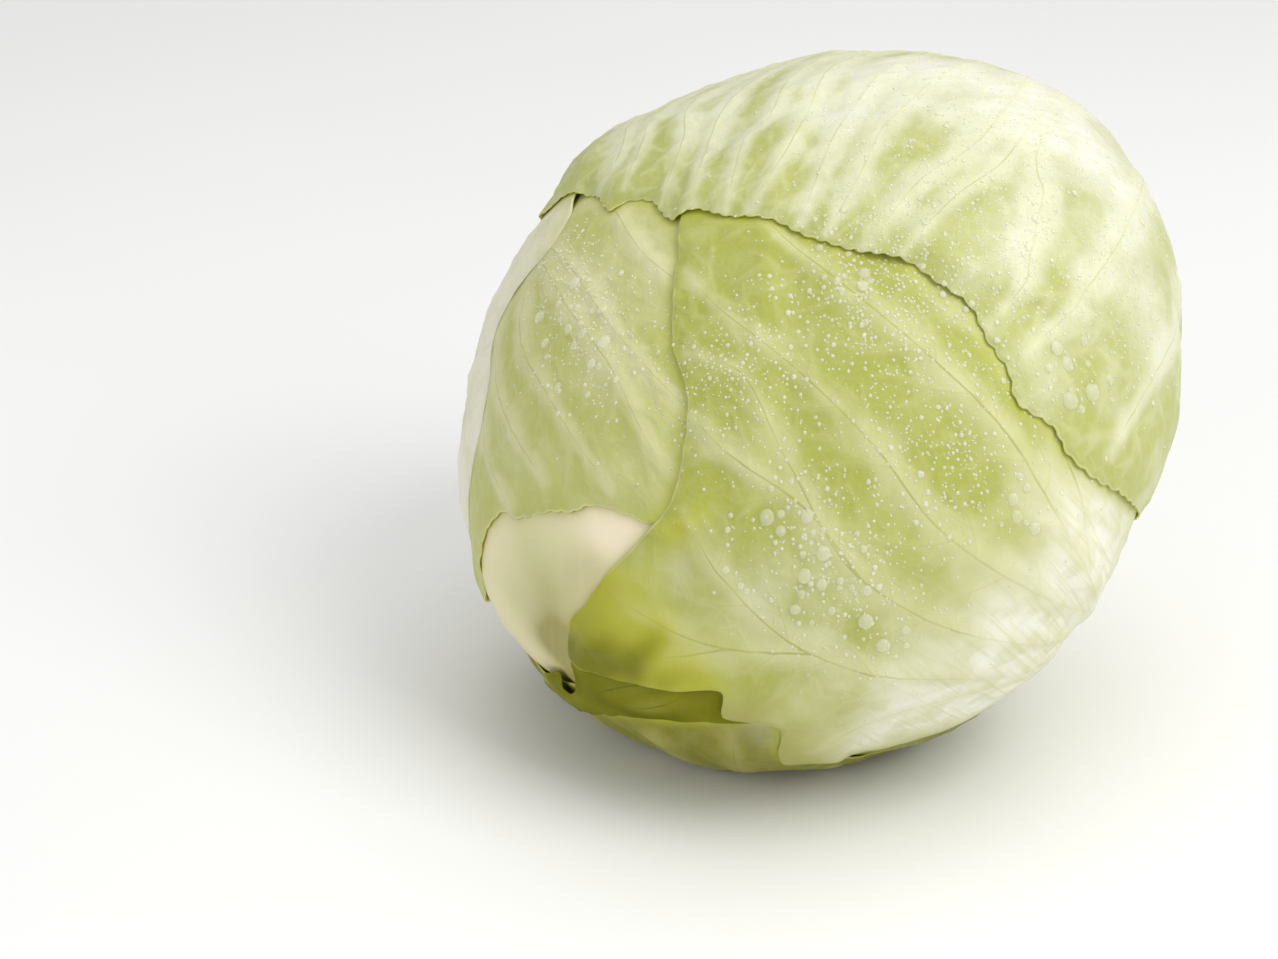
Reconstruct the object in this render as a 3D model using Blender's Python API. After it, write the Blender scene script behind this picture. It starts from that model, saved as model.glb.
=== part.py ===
"""A whole head of green cabbage, lying tilted on a table.

The head is a flattened ball, and its stem points down to the right and back. Eight outer leaves
grow from the stem and wrap it. Each leaf is drawn flat, as an outline and its ribs, and is then
laid on the head over the leaves beneath it. Sizes are in millimetres until the meshes are made.
"""

import math

import bpy
import numpy as np
from mathutils.geometry import delaunay_2d_cdt

# Head
EQUATOR = 87.4
POLE = 65.0
STEM = (0.55, 0.40, -0.74)
SWELLINGS = (
    ((0.793, 0.257, 0.552), 6.8, 36.0),
    ((-0.643, 0.324, 0.694), 4.0, 21.5),
    ((-0.888, -0.297, -0.352), 1.8, 9.0),
    ((0.500, -0.366, -0.785), 5.9, 20.0),
    ((0.120, 0.070, -0.990), 5.5, 22.0),
)
FLOOR = 72.0
ORIGIN = (1.8, 0.0)

# Leaves
CHART = 85.0
BLADE = 0.8
PITCH = 1.55
SPACING = 9.4
MARGIN_STEP = 7.2
RAMP = 13.0
BLEND = 26.0
CLEAR_FROM = 22.0
CLEAR_BY = 8.0
FOOT_DEEPER = 0.9

# Stump
STUMP_RADIUS = 13.5
STUMP_TOP = 68.5
STUMP_SIDES = 28


def unit(vector):
    """Vectors of length 1, along the last axis."""
    vector = np.asarray(vector, float)
    return vector / np.linalg.norm(vector, axis=-1, keepdims=True)


STEM_AXIS = unit(STEM)


def smooth(value):
    """A ramp from 0 to 1 with level ends."""
    value = np.clip(value, 0.0, 1.0)
    return value * value * (3.0 - 2.0 * value)


def head_radius(d):
    """Distance from the head's centre to its outside, in the directions d."""
    along = d @ STEM_AXIS
    radius = 1.0 / np.sqrt((1.0 - along**2) / EQUATOR**2 + along**2 / POLE**2)
    for way, height, width in SWELLINGS:
        angle = np.degrees(np.arccos(np.clip(d @ unit(way), -1.0, 1.0)))
        radius = radius + height * np.exp(-((angle / width) ** 2))
    return radius


def polyline_distance(points, line, closed=False):
    """Distance of each flat point from a polyline, and how far along it the nearest place is."""
    line = np.asarray(line, float)
    ends = np.roll(line, -1, axis=0) if closed else line[1:]
    starts = line if closed else line[:-1]
    step = ends - starts
    length = np.maximum(np.linalg.norm(step, axis=1), 1e-9)
    before = np.concatenate([[0.0], np.cumsum(length)])[:-1]
    best = np.full(len(points), 1e9)
    where = np.zeros(len(points))
    for a, s, n, b in zip(starts, step, length, before):
        t = np.clip((points - a) @ s / n**2, 0.0, 1.0)
        gap = np.linalg.norm(points - a - t[:, None] * s, axis=1)
        where = np.where(gap < best, b + t * n, where)
        best = np.minimum(best, gap)
    return best, where


def inside(points, outline):
    """Which flat points lie inside a closed outline."""
    outline = np.asarray(outline, float)
    x, y = points[:, 0], points[:, 1]
    found = np.zeros(len(points), bool)
    for (x0, y0), (x1, y1) in zip(outline, np.roll(outline, -1, axis=0)):
        if y0 != y1:
            crosses = (y0 > y) != (y1 > y)
            found ^= crosses & (x < (x1 - x0) * (y - y0) / (y1 - y0) + x0)
    return found


def divided(line, step, closed=False):
    """A polyline with its long spans divided, so that no span is much over step."""
    line = [np.asarray(p, float) for p in line]
    spans = list(zip(line, line[1:] + line[:1] if closed else line[1:]))
    out = []
    for a, b in spans:
        count = max(1, round(float(np.linalg.norm(b - a)) / step))
        out += [a + (b - a) * i / count for i in range(count)]
    return np.array(out if closed else out + [line[-1]])


class Leaf:
    """One leaf: a flat pattern round a chart's centre, with up along the leaf."""

    def __init__(self, name, centre, up, margin, midrib, veins, folds=(), wave=0.8, spacing=SPACING):
        self.name = name
        self.centre = unit(centre)
        up = np.asarray(up, float)
        self.up = unit(up - (up @ self.centre) * self.centre)
        self.right = np.cross(self.up, self.centre)
        self.margin = np.array(margin, float)
        self.midrib = midrib
        self.veins = veins
        self.folds = folds
        self.wave = wave
        self.spacing = spacing

    def flat(self, d):
        """Places in the flat pattern of the directions d."""
        angle = np.arccos(np.clip(d @ self.centre, -1.0, 1.0))
        x, y = d @ self.right, d @ self.up
        scale = CHART * angle / np.maximum(np.hypot(x, y), 1e-9)
        return np.stack([x * scale, y * scale], axis=-1)

    def wrapped(self, p):
        """Directions of the flat places p."""
        reach = np.maximum(np.linalg.norm(p, axis=1), 1e-9)
        angle = reach / CHART
        side = (p[:, :1] * self.right + p[:, 1:] * self.up) / reach[:, None]
        return np.cos(angle)[:, None] * self.centre + np.sin(angle)[:, None] * side

    def depth(self, d):
        """How far inside the leaf's outline each direction is, negative outside it."""
        p = self.flat(d)
        gap, _ = polyline_distance(p, self.margin, closed=True)
        return np.where(inside(p, self.margin), gap, -gap)

    def relief(self, p):
        """Height of the ribs, the folds and the waved margin above the blade."""
        height = np.zeros(len(p))
        base = self.margin[0] * 0.5 + self.margin[-1] * 0.5
        from_base = np.linalg.norm(p - base, axis=1)
        gap, _ = polyline_distance(p, self.midrib)
        height = np.maximum(height, (0.8 + 2.0 * np.exp(-from_base / 60.0)) * np.exp(-((gap / 5.0) ** 2)))
        for vein in self.veins:
            gap, along = polyline_distance(p, vein)
            height = np.maximum(height, (1.0 - 0.004 * along) * np.exp(-((gap / 3.2) ** 2)))
        for fold in self.folds:
            gap, _ = polyline_distance(p, fold)
            height = height + 1.3 * np.exp(-((gap / 7.0) ** 2))
        edge, along = polyline_distance(p, self.margin, closed=True)
        waves = 1.0 + 0.6 * np.sin(along / 4.1) + 0.4 * np.sin(along / 6.7 + 1.0)
        return height + self.wave * waves * np.exp(-((edge / 6.0) ** 2)) * smooth(from_base / 40.0)


# The leaves, from the innermost to the outermost
HIDDEN_LEAF = Leaf(
    "under_leaf",
    (0.638, -0.438, -0.634),
    -STEM_AXIS,
    [(-13, -56), (-40, -46), (-62, -20), (-72, 12), (-66, 40), (-46, 58), (-16, 68), (18, 68), (46, 54)]
    + [(64, 28), (68, -4), (54, -34), (32, -52), (13, -56)],
    [(0, -56), (-2, -20), (-4, 20), (-2, 54)],
    [
        [(-1, -30), (-24, 4), (-44, 34)],
        [(-3, 0), (-18, 28), (-28, 52)],
        [(-1, -30), (26, 4), (48, 30)],
        [(-3, 0), (14, 28), (24, 52)],
    ],
    spacing=9.6,
)
RIGHT_LEAF = Leaf(
    "right_leaf",
    (0.172, 0.863, 0.475),
    -STEM_AXIS,
    [(-14, -108), (-40, -92), (-64, -60), (-76, -20), (-72, 22), (-56, 56), (-28, 78), (4, 84), (36, 76)]
    + [(60, 52), (72, 16), (72, -24), (60, -64), (38, -94), (14, -108)],
    [(0, -108), (2, -60), (3, -10), (2, 66)],
    [
        [(1, -78), (-30, -50), (-58, -14)],
        [(2, -50), (-30, -14), (-58, 20)],
        [(3, -20), (-22, 18), (-44, 50)],
        [(3, 10), (-12, 42), (-22, 64)],
        [(1, -78), (32, -52), (58, -18)],
        [(2, -50), (32, -16), (58, 18)],
        [(3, -20), (26, 16), (46, 48)],
        [(3, 10), (16, 40), (26, 62)],
    ],
    spacing=9.6,
)
BACK_LEAF = Leaf(
    "back_leaf",
    (-0.792, 0.528, -0.307),
    -STEM_AXIS,
    [(-17, -113), (-44, -98), (-68, -64), (-80, -18), (-80, 22), (-70, 54), (-52, 76), (-34, 86), (-22, 87)]
    + [(-14, 84), (-8, 76), (-2, 68), (5, 62), (12, 62), (21, 63), (30, 61), (36, 56), (41, 49), (45, 42)]
    + [(49, 35), (49, 26), (48, 12), (47, -10), (48, -36), (46, -66), (34, -94), (15, -113)],
    [(0, -113), (-2, -60), (-4, 0), (-10, 66)],
    [
        [(-1, -80), (-30, -50), (-58, -10)],
        [(-2, -50), (-32, -12), (-60, 26)],
        [(-3, -20), (-26, 18), (-50, 56)],
        [(-4, 10), (-18, 44), (-30, 72)],
        [(-1, -80), (22, -56), (40, -26)],
        [(-2, -50), (20, -22), (40, 10)],
        [(-3, -20), (18, 10), (34, 40)],
        [(-4, 10), (6, 34), (14, 54)],
    ],
    spacing=9.6,
)
LOWEST_LEAF = Leaf(
    "lower_leaf",
    (-0.071, -0.469, -0.880),
    -STEM_AXIS,
    [(-12, -77), (-40, -66), (-66, -38), (-80, -4), (-74, 24), (-56, 40), (-38, 46), (-18, 52), (2, 55)]
    + [(20, 52), (31, 42), (29, 27), (26, 12), (27, -8), (32, -34), (26, -60), (12, -77)],
    [(0, -77), (-4, -40), (-8, 0), (-6, 40)],
    [
        [(-1, -60), (-30, -34), (-58, -8)],
        [(-4, -34), (-28, -6), (-54, 22)],
        [(-6, -10), (-22, 16), (-34, 36)],
        [(-4, -34), (8, -8), (20, 8)],
        [(-7, -4), (4, 20), (16, 40)],
    ],
    spacing=9.4,
)
LEFT_LEAF = Leaf(
    "left_leaf",
    (-0.697, 0.482, 0.531),
    (-0.498, -0.858, 0.125),
    [(56, -160), (28, -142), (-2, -116), (-32, -84), (-58, -48), (-74, -10), (-80, 25), (-79, 60), (-73, 95)]
    + [(-60, 122), (-42, 142), (-20, 153), (0, 152), (8, 142), (16, 131), (25, 121), (30, 118), (38, 110)]
    + [(51, 97), (54, 90), (63, 82), (70, 79), (80, 75), (88, 71), (98, 54), (104, 30), (109, 0)]
    + [(112, -35), (114, -70), (114, -100), (110, -130)],
    [(83, -145), (62, -110), (40, -60), (18, 0), (4, 35), (-6, 72), (-13, 101), (-11, 127), (-12, 143)],
    [
        [(50, -84), (10, -60), (-44, -30)],
        [(40, -60), (0, -22), (-60, 14)],
        [(30, -30), (-10, 16), (-66, 56)],
        [(18, 0), (-22, 34), (-38, 70), (-60, 100)],
        [(10, 20), (-8, 52), (-20, 92), (-30, 122), (-34, 138)],
        [(50, -84), (74, -60), (100, -30)],
        [(40, -60), (66, -24), (98, 14)],
        [(30, -30), (52, 14), (78, 52)],
        [(18, 0), (36, 36), (47, 69), (49, 92)],
        [(10, 20), (30, 52), (33, 76), (32, 104)],
        [(4, 35), (16, 60), (14, 90), (12, 124)],
    ],
    spacing=9.4,
)
CURLED_LEAF = Leaf(
    "curled_leaf",
    (-0.335, -0.702, -0.628),
    -STEM_AXIS,
    [(26, -116), (58, -84), (72, -48), (76, -18), (64, 2), (40, 6), (20, 8), (6, 9), (-8, 10), (-23, 6)]
    + [(-31, 3), (-37, 3), (-38, 8), (-34, 14), (-27, 17), (-25, 13), (-21, 16), (-22, 20), (-18, 24)]
    + [(-6, 33), (24, 43), (58, 38), (86, 16), (98, -14), (96, -50), (78, -86), (46, -116)],
    [(38, -114), (70, -78), (84, -36), (78, 2), (52, 20), (20, 22), (-8, 19), (-28, 10)],
    [
        [(84, -36), (90, -10), (84, 6)],
        [(66, 12), (56, 26), (44, 34)],
        [(36, 21), (24, 30), (8, 34)],
        [(20, 22), (6, 16), (-8, 14)],
    ],
    wave=1.5,
    spacing=9.0,
)
FRONT_LEAF = Leaf(
    "front_leaf",
    (0.191, -0.937, 0.293),
    -STEM_AXIS,
    [(-14, -157), (-20, -132), (-23, -112), (-25, -96), (-31, -82), (-41, -73), (-53, -64), (-63, -57)]
    + [(-71, -53), (-77, -47), (-74, -39), (-68, -33), (-65, -28), (-69, -24), (-74, -19), (-69, -13), (-80, -6)]
    + [(-92, 4), (-102, 15)]
    + [(-94, 23), (-87, 24), (-75, 27), (-62, 28), (-47, 30), (-35, 38), (-25, 48), (-18, 62), (-8, 72)]
    + [(6, 84), (16, 92), (34, 96), (54, 86), (66, 68), (72, 44), (73, 16), (70, -14), (66, -46)]
    + [(58, -80), (46, -112), (30, -138), (14, -157)],
    [(0, -157), (3, -110), (7, -70), (11, -40), (18, -14), (21, 10), (25, 43), (29, 62), (36, 84)],
    [
        [(6, -80), (-3, -44), (-7, -17), (-3, 5), (-1, 30), (-1, 60), (2, 76)],
        [(4, -95), (-14, -52), (-26, -13), (-19, 17), (-11, 40), (-17, 56)],
        [(-26, -13), (-24, 6), (-28, 30), (-28, 42)],
        [(3, -108), (-28, -48), (-46, -18), (-49, 8), (-46, 26)],
        [(-46, -18), (-64, 0), (-74, 20)],
        [(-58, -6), (-78, 4), (-94, 16)],
        [(3, -118), (-20, -70), (-44, -46), (-66, -42)],
        [(9, -56), (28, -20), (40, 24), (44, 76)],
        [(6, -80), (32, -44), (52, 0), (60, 60)],
        [(4, -100), (32, -72), (56, -30), (64, 20)],
    ],
)
CAP_LEAF = Leaf(
    "cap_leaf",
    (0.453, -0.271, 0.849),
    -STEM_AXIS,
    [(-10, -158), (-26, -136), (-46, -106), (-62, -78), (-69, -53), (-71, -34), (-69, -20), (-65, -14)]
    + [(-62, -4), (-56, -1), (-50, 4), (-42, 8), (-36, 17), (-31, 22), (-25, 36), (-15, 48), (-9, 54), (2, 68)]
    + [(9, 74), (13, 82), (28, 86), (36, 92), (37, 97), (52, 97), (66, 101), (79, 106), (96, 104), (109, 92)]
    + [(115, 72), (117, 46), (112, 18), (102, -10), (90, -40), (74, -72), (54, -106), (30, -138), (12, -158)],
    [(1, -158), (14, -128), (30, -94), (44, -60), (58, -24), (71, 6), (84, 36), (94, 62), (96, 88)],
    [
        [(25, -104), (-12, -92), (-50, -86)],
        [(34, -84), (-4, -62), (-40, -44), (-64, -32)],
        [(40, -70), (10, -44), (-14, -30), (-38, -15), (-52, -4)],
        [(46, -54), (22, -24), (1, -11), (-20, -7), (-35, -3), (-46, 4)],
        [(51, -42), (26, -24), (8, -10), (-4, -1), (-13, 10), (-30, 25)],
        [(54, -34), (34, -20), (14, -6), (1, 5), (-7, 17), (-27, 33)],
        [(58, -24), (46, -14), (36, -2), (30, 5), (14, 21), (-1, 30), (-20, 42)],
        [(62, -14), (50, 0), (36, 17), (20, 30), (7, 38), (-14, 48)],
        [(66, -4), (60, 10), (52, 21), (40, 30), (22, 41), (-2, 60)],
        [(70, 4), (62, 20), (53, 32), (37, 44), (29, 54), (3, 66)],
        [(76, 18), (66, 36), (54, 50), (46, 58), (30, 67), (12, 75)],
        [(80, 28), (74, 46), (65, 58), (50, 66), (37, 74), (22, 83)],
        [(86, 42), (80, 56), (68, 69), (58, 77), (40, 90)],
        [(91, 54), (83, 68), (70, 77), (57, 87), (50, 95)],
        [(30, -94), (46, -96), (58, -90)],
        [(44, -60), (62, -62), (76, -54)],
        [(58, -24), (78, -24), (92, -14)],
        [(71, 6), (90, 10), (106, 24)],
        [(84, 36), (98, 46), (108, 62)],
    ],
    folds=([(-27, 27), (-13, -7), (-6, -24)], [(-31, 14), (-34, 3), (-40, -17)]),
)
LEAVES = [HIDDEN_LEAF, RIGHT_LEAF, LOWEST_LEAF, LEFT_LEAF, BACK_LEAF, CURLED_LEAF, FRONT_LEAF, CAP_LEAF]


def stack(d, level):
    """Radius of the inner face of the leaf at this level, the leaves above it, and how free it is of them."""
    depths = [leaf.depth(d) for leaf in LEAVES]
    covers = [smooth((depth + RAMP) / RAMP) for depth in depths]
    wide = [smooth((depth + BLEND) / (2.0 * BLEND)) for depth in depths]
    radius = head_radius(d) - PITCH * sum(wide) + PITCH * sum(covers[:level])
    above = sum(covers[level + 1 :], np.zeros(len(d)))
    free = np.ones(len(d))
    for depth in depths[level + 1 :]:
        free *= 1.0 - smooth((depth + CLEAR_FROM) / (CLEAR_FROM - CLEAR_BY))
    return radius, above, free


def floored(radius, d, clearance):
    """The radius kept above the table, as the head flattens where it rests."""
    down = np.maximum(-d[:, 2], 1e-3)
    most = (FLOOR - clearance) / down
    return np.minimum(radius, most)


def leaf_faces(leaf):
    """The flat triangles of a leaf: its outline and ribs are edges of them."""
    margin = divided(leaf.margin, MARGIN_STEP, closed=True)
    points = [tuple(p) for p in margin]
    edges = [(i, (i + 1) % len(points)) for i in range(len(points))]
    midrib = divided(leaf.midrib, MARGIN_STEP)
    lines = [midrib]
    for vein in leaf.veins:
        line = divided(vein, MARGIN_STEP)
        near = np.linalg.norm(midrib - line[0], axis=1)
        if near.min() < 8.0:
            line[0] = midrib[near.argmin()]
        lines.append(line)
    lines += [divided(fold, MARGIN_STEP) for fold in leaf.folds]
    for line in lines:
        edge, _ = polyline_distance(line, margin, closed=True)
        line = line[(edge > 3.5) & inside(line, margin)]
        edges += [(len(points) + i, len(points) + i + 1) for i in range(len(line) - 1)]
        points += [tuple(p) for p in line]
    drawn = np.array(points)
    low, high = drawn.min(axis=0), drawn.max(axis=0)
    row = leaf.spacing * math.sqrt(0.75)
    grid = [
        (low[0] + leaf.spacing * (i + 0.5 * (j % 2)), low[1] + row * j)
        for j in range(int((high[1] - low[1]) / row) + 1)
        for i in range(int((high[0] - low[0]) / leaf.spacing) + 1)
    ]
    grid = np.array(grid)
    nearest = np.min(np.linalg.norm(grid[:, None] - drawn[None], axis=2), axis=1)
    grid = grid[inside(grid, margin) & (nearest > 0.5 * leaf.spacing)]
    points += [tuple(p) for p in grid]
    found, _, faces, _, _, _ = delaunay_2d_cdt(points, edges, [], 1, 0.4)
    return np.array([tuple(p) for p in found]), [tuple(f) for f in faces]


def rim_of(faces):
    """Edges that only one triangle has, in the triangle's own direction."""
    seen = {}
    for face in faces:
        for a, b in zip(face, face[1:] + face[:1]):
            seen[(a, b)] = True
    return [(a, b) for a, b in seen if (b, a) not in seen]


def leaf_mesh(level):
    """Points and faces of a closed leaf: an outer and an inner face of the same triangles, and a rim."""
    leaf = LEAVES[level]
    flat, faces = leaf_faces(leaf)
    area = sum(np.cross(flat[b] - flat[a], flat[c] - flat[a]) for a, b, c in faces)
    if area < 0:
        faces = [face[::-1] for face in faces]
    d = leaf.wrapped(flat)
    radius, above, free = stack(d, level)
    radius = radius + leaf.relief(flat) * free
    radius = floored(radius, d, BLADE + (PITCH + 0.2) * above + FOOT_DEEPER * np.clip(above, 0.0, 1.0))
    count = len(flat)
    points = np.concatenate([d * (radius + BLADE)[:, None], d * radius[:, None]])
    shell = list(faces) + [tuple(i + count for i in face[::-1]) for face in faces]
    for a, b in rim_of(faces):
        shell += [(b, a, a + count), (b, a + count, b + count)]
    return points, shell


def ball_directions(rings):
    """Directions over a whole ball in rings about the stem's axis, and the faces between them."""
    side = unit(np.cross(STEM_AXIS, (0.0, 0.0, 1.0)))
    front = np.cross(STEM_AXIS, side)
    points = [STEM_AXIS]
    rows = []
    for i in range(1, rings):
        polar = math.pi * i / rings
        count = 2 * rings
        rows.append([len(points) + j for j in range(count)])
        for j in range(count):
            turn = 2.0 * math.pi * (j + 0.5 * (i % 2)) / count
            across = math.cos(turn) * side + math.sin(turn) * front
            points.append(math.cos(polar) * STEM_AXIS + math.sin(polar) * across)
    points.append(-STEM_AXIS)
    faces = [(0, rows[0][j], rows[0][j - 1]) for j in range(len(rows[0]))]
    for i, (upper, lower) in enumerate(zip(rows, rows[1:])):
        shift = 0 if (i + 1) % 2 == 0 else 1
        for j in range(len(upper)):
            a, b = upper[j - 1], upper[j]
            c, e = lower[(j - 1 + shift) % len(lower)], lower[(j - 1 + shift - 1) % len(lower)]
            faces += [(a, b, c), (a, c, e)]
    last = len(points) - 1
    faces += [(last, rows[-1][j - 1], rows[-1][j]) for j in range(len(rows[-1]))]
    return np.array(points), faces


def inner_radius(d):
    """The dense inner head, just inside the innermost leaf."""
    radius, above, _ = stack(d, 0)
    cover = np.clip(above + smooth((LEAVES[0].depth(d) + RAMP) / RAMP), 0.0, 1.0)
    radius = radius - 0.75 - 0.7 * cover
    return floored(radius, d, 4.5)


def inner_mesh():
    points, faces = ball_directions(25)
    return points * inner_radius(points)[:, None], faces


def stump_mesh():
    """The cut stem: a short round block on the inner head."""
    side = unit(np.cross(STEM_AXIS, (0.0, 0.0, 1.0)))
    front = np.cross(STEM_AXIS, side)
    turns = 2.0 * np.pi * np.arange(STUMP_SIDES) / STUMP_SIDES
    around = np.cos(turns)[:, None] * side + np.sin(turns)[:, None] * front

    def lifted(across):
        d = unit(STEM_AXIS * POLE + around * across)
        return d * (inner_radius(d) + 0.6)[:, None]

    wobble = 1.0 + 0.03 * np.sin(3.0 * turns) + 0.02 * np.sin(5.0 * turns + 1.0)
    rings = [
        lifted(STUMP_RADIUS * 0.5),
        lifted(STUMP_RADIUS),
        STEM_AXIS * (STUMP_TOP - 0.8) + around * (STUMP_RADIUS * wobble)[:, None],
        STEM_AXIS * STUMP_TOP + around * ((STUMP_RADIUS - 0.8) * wobble)[:, None],
        STEM_AXIS * (STUMP_TOP - 0.3) + around * (STUMP_RADIUS * 0.45 * wobble)[:, None],
    ]
    bottom = unit(STEM_AXIS)[None]
    points = np.concatenate(
        [bottom * (inner_radius(bottom) + 0.6)[:, None], *rings, bottom * (STUMP_TOP - 0.4)]
    )
    n = STUMP_SIDES
    faces = [(0, 1 + (j + 1) % n, 1 + j) for j in range(n)]
    for k in range(len(rings) - 1):
        for j in range(n):
            a, b = 1 + k * n + j, 1 + k * n + (j + 1) % n
            faces += [(a, b, b + n), (a, b + n, a + n)]
    last = len(points) - 1
    start = 1 + (len(rings) - 1) * n
    faces += [(last, start + j, start + (j + 1) % n) for j in range(n)]
    return points, faces


def material(name, colour, roughness):
    made = bpy.data.materials.new(name)
    made.use_nodes = True
    shader = made.node_tree.nodes["Principled BSDF"]
    shader.inputs["Base Color"].default_value = (*colour, 1.0)
    shader.inputs["Roughness"].default_value = roughness
    shader.inputs["Metallic"].default_value = 0.0
    return made


def signed_volume(points, faces):
    total = 0.0
    for face in faces:
        a, b, c = points[face[0]], points[face[1]], points[face[2]]
        total += float(np.dot(a, np.cross(b, c)))
    return total


def add_node(name, points, faces, colour, roughness):
    """One named object, with its faces turned out and shaded smooth."""
    if signed_volume(points, faces) < 0:
        faces = [face[::-1] for face in faces]
    points = (points + np.array([-ORIGIN[0], -ORIGIN[1], FLOOR])) / 1000.0
    mesh = bpy.data.meshes.new(name)
    mesh.from_pydata(points.tolist(), [], faces)
    mesh.validate()
    for polygon in mesh.polygons:
        polygon.use_smooth = True
    mesh.materials.append(material(name, colour, roughness))
    made = bpy.data.objects.new(name, mesh)
    bpy.context.scene.collection.objects.link(made)
    return made


COLOURS = {
    "under_leaf": (0.50, 0.52, 0.22),
    "right_leaf": (0.60, 0.62, 0.32),
    "back_leaf": (0.64, 0.66, 0.38),
    "lower_leaf": (0.42, 0.42, 0.17),
    "left_leaf": (0.56, 0.60, 0.26),
    "curled_leaf": (0.24, 0.24, 0.02),
    "front_leaf": (0.52, 0.56, 0.20),
    "cap_leaf": (0.60, 0.63, 0.29),
}


def main():
    for found in list(bpy.data.objects):
        bpy.data.objects.remove(found)
    for level, leaf in enumerate(LEAVES):
        points, faces = leaf_mesh(level)
        add_node(leaf.name, points, faces, COLOURS[leaf.name], 0.42)
    add_node("inner_head", *inner_mesh(), (0.68, 0.60, 0.42), 0.45)
    add_node("stem", *stump_mesh(), (0.72, 0.68, 0.50), 0.6)
    every = np.concatenate(
        [np.array([v.co for v in made.data.vertices]) for made in bpy.data.objects if made.type == "MESH"]
    )
    print("bounds in mm:", np.round(every.min(axis=0) * 1000, 2), np.round(every.max(axis=0) * 1000, 2))


main()
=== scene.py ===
"""Whole head of green cabbage, dressed for the camera.

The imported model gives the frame. Each leaf of it is replaced by a finer one of the same form: the
flat pattern of the leaf is cut again with a scalloped margin and branching veins, laid on the head
over the leaves beneath it, and given its thickness. The dense inner head, the cut stem and the dew
follow. Sizes are in millimetres until a mesh is placed.
"""

import logging
import math
from dataclasses import dataclass, field
from enum import Enum
from typing import Callable, Mapping, Sequence

import bpy
import numpy as np
from mathutils import Matrix, Vector
from mathutils.bvhtree import BVHTree
from mathutils.geometry import delaunay_2d_cdt


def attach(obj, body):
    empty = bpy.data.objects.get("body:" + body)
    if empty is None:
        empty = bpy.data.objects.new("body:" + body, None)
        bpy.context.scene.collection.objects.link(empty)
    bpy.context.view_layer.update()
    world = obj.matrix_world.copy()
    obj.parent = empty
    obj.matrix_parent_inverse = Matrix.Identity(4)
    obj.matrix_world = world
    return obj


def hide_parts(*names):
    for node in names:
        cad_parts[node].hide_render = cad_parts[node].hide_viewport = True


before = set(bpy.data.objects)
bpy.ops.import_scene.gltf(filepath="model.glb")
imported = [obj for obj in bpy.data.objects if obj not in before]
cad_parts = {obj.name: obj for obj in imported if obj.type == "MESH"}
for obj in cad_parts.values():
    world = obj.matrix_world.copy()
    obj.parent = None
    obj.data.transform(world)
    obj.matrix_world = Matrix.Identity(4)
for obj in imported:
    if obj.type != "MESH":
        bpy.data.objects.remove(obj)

LOG = logging.getLogger("cabbage")
Line = Sequence[tuple[float, float]]
Place = tuple[float, float, float]
Colour = tuple[float, float, float]
Patch = tuple[float, float, float, float, float]
Cluster = tuple[float, float, float, float, int, float]
Socket = bpy.types.NodeSocket
Piece = bpy.types.Object
Array = np.ndarray


class Gap(Enum):
    """Vertex attributes that tell a leaf's material where it is, in millimetres or as a weight."""

    RIB = "rib_gap"
    LINE = "line_gap"
    BRANCH = "branch_gap"
    EDGE = "edge_gap"
    WHITE = "white"
    GREEN = "green"
    OLIVE = "olive"
    BEIGE = "beige"
    SHADE = "shade"


class Tint(Enum):
    """What a soft patch does to a leaf's colour."""

    WHITE = "white"
    GREEN = "green"
    OLIVE = "olive"
    BEIGE = "beige"


def unit(vector: Array | Sequence[float]) -> Array:
    """Vectors of length 1, along the last axis."""
    vector = np.asarray(vector, float)
    return vector / np.maximum(np.linalg.norm(vector, axis=-1, keepdims=True), 1e-12)


def smooth(value: Array) -> Array:
    """A ramp from 0 to 1 with level ends."""
    value = np.clip(value, 0.0, 1.0)
    return value * value * (3.0 - 2.0 * value)


def bell(gap: Array, width: float) -> Array:
    """1 where the gap is nought, falling off softly over the width."""
    return np.exp(-((gap / width) ** 2))


def degrees_from(d: Array, way: Sequence[float]) -> Array:
    """The angles of the directions d from one way, in degrees."""
    return np.degrees(np.arccos(np.clip(d @ unit(way), -1.0, 1.0)))


def lengths(line: Array) -> Array:
    """The length of each step of a line."""
    return np.linalg.norm(np.diff(line, axis=0), axis=1)


def distances(line: Array) -> Array:
    """How far along a line each of its points is."""
    return np.concatenate([[0.0], np.cumsum(lengths(line))])


def line_gap(points: Array, line: Array, closed: bool = False) -> tuple[Array, Array]:
    """Measure flat points from a drawn line.

    Args:
        points: flat places, one a row.
        line: the corners of the line.
        closed: whether the last corner joins the first.

    Returns:
        The distance of each place from the line, and how far along it the nearest place is.
    """
    line = np.asarray(line, float)
    starts = line if closed else line[:-1]
    ends = np.roll(line, -1, axis=0) if closed else line[1:]
    step = ends - starts
    length = np.maximum(np.linalg.norm(step, axis=1), 1e-9)
    before = np.concatenate([[0.0], np.cumsum(length)])[:-1]
    x, y = points[:, 0], points[:, 1]
    best = np.full(len(points), 1e9)
    where = np.zeros(len(points))
    for (ax, ay), (sx, sy), n, b in zip(starts, step, length, before):
        t = np.clip(((x - ax) * sx + (y - ay) * sy) / n**2, 0.0, 1.0)
        gap = (x - ax - t * sx) ** 2 + (y - ay - t * sy) ** 2
        nearer = gap < best
        where = np.where(nearer, b + t * n, where)
        best = np.where(nearer, gap, best)
    return np.sqrt(best), where


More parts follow.
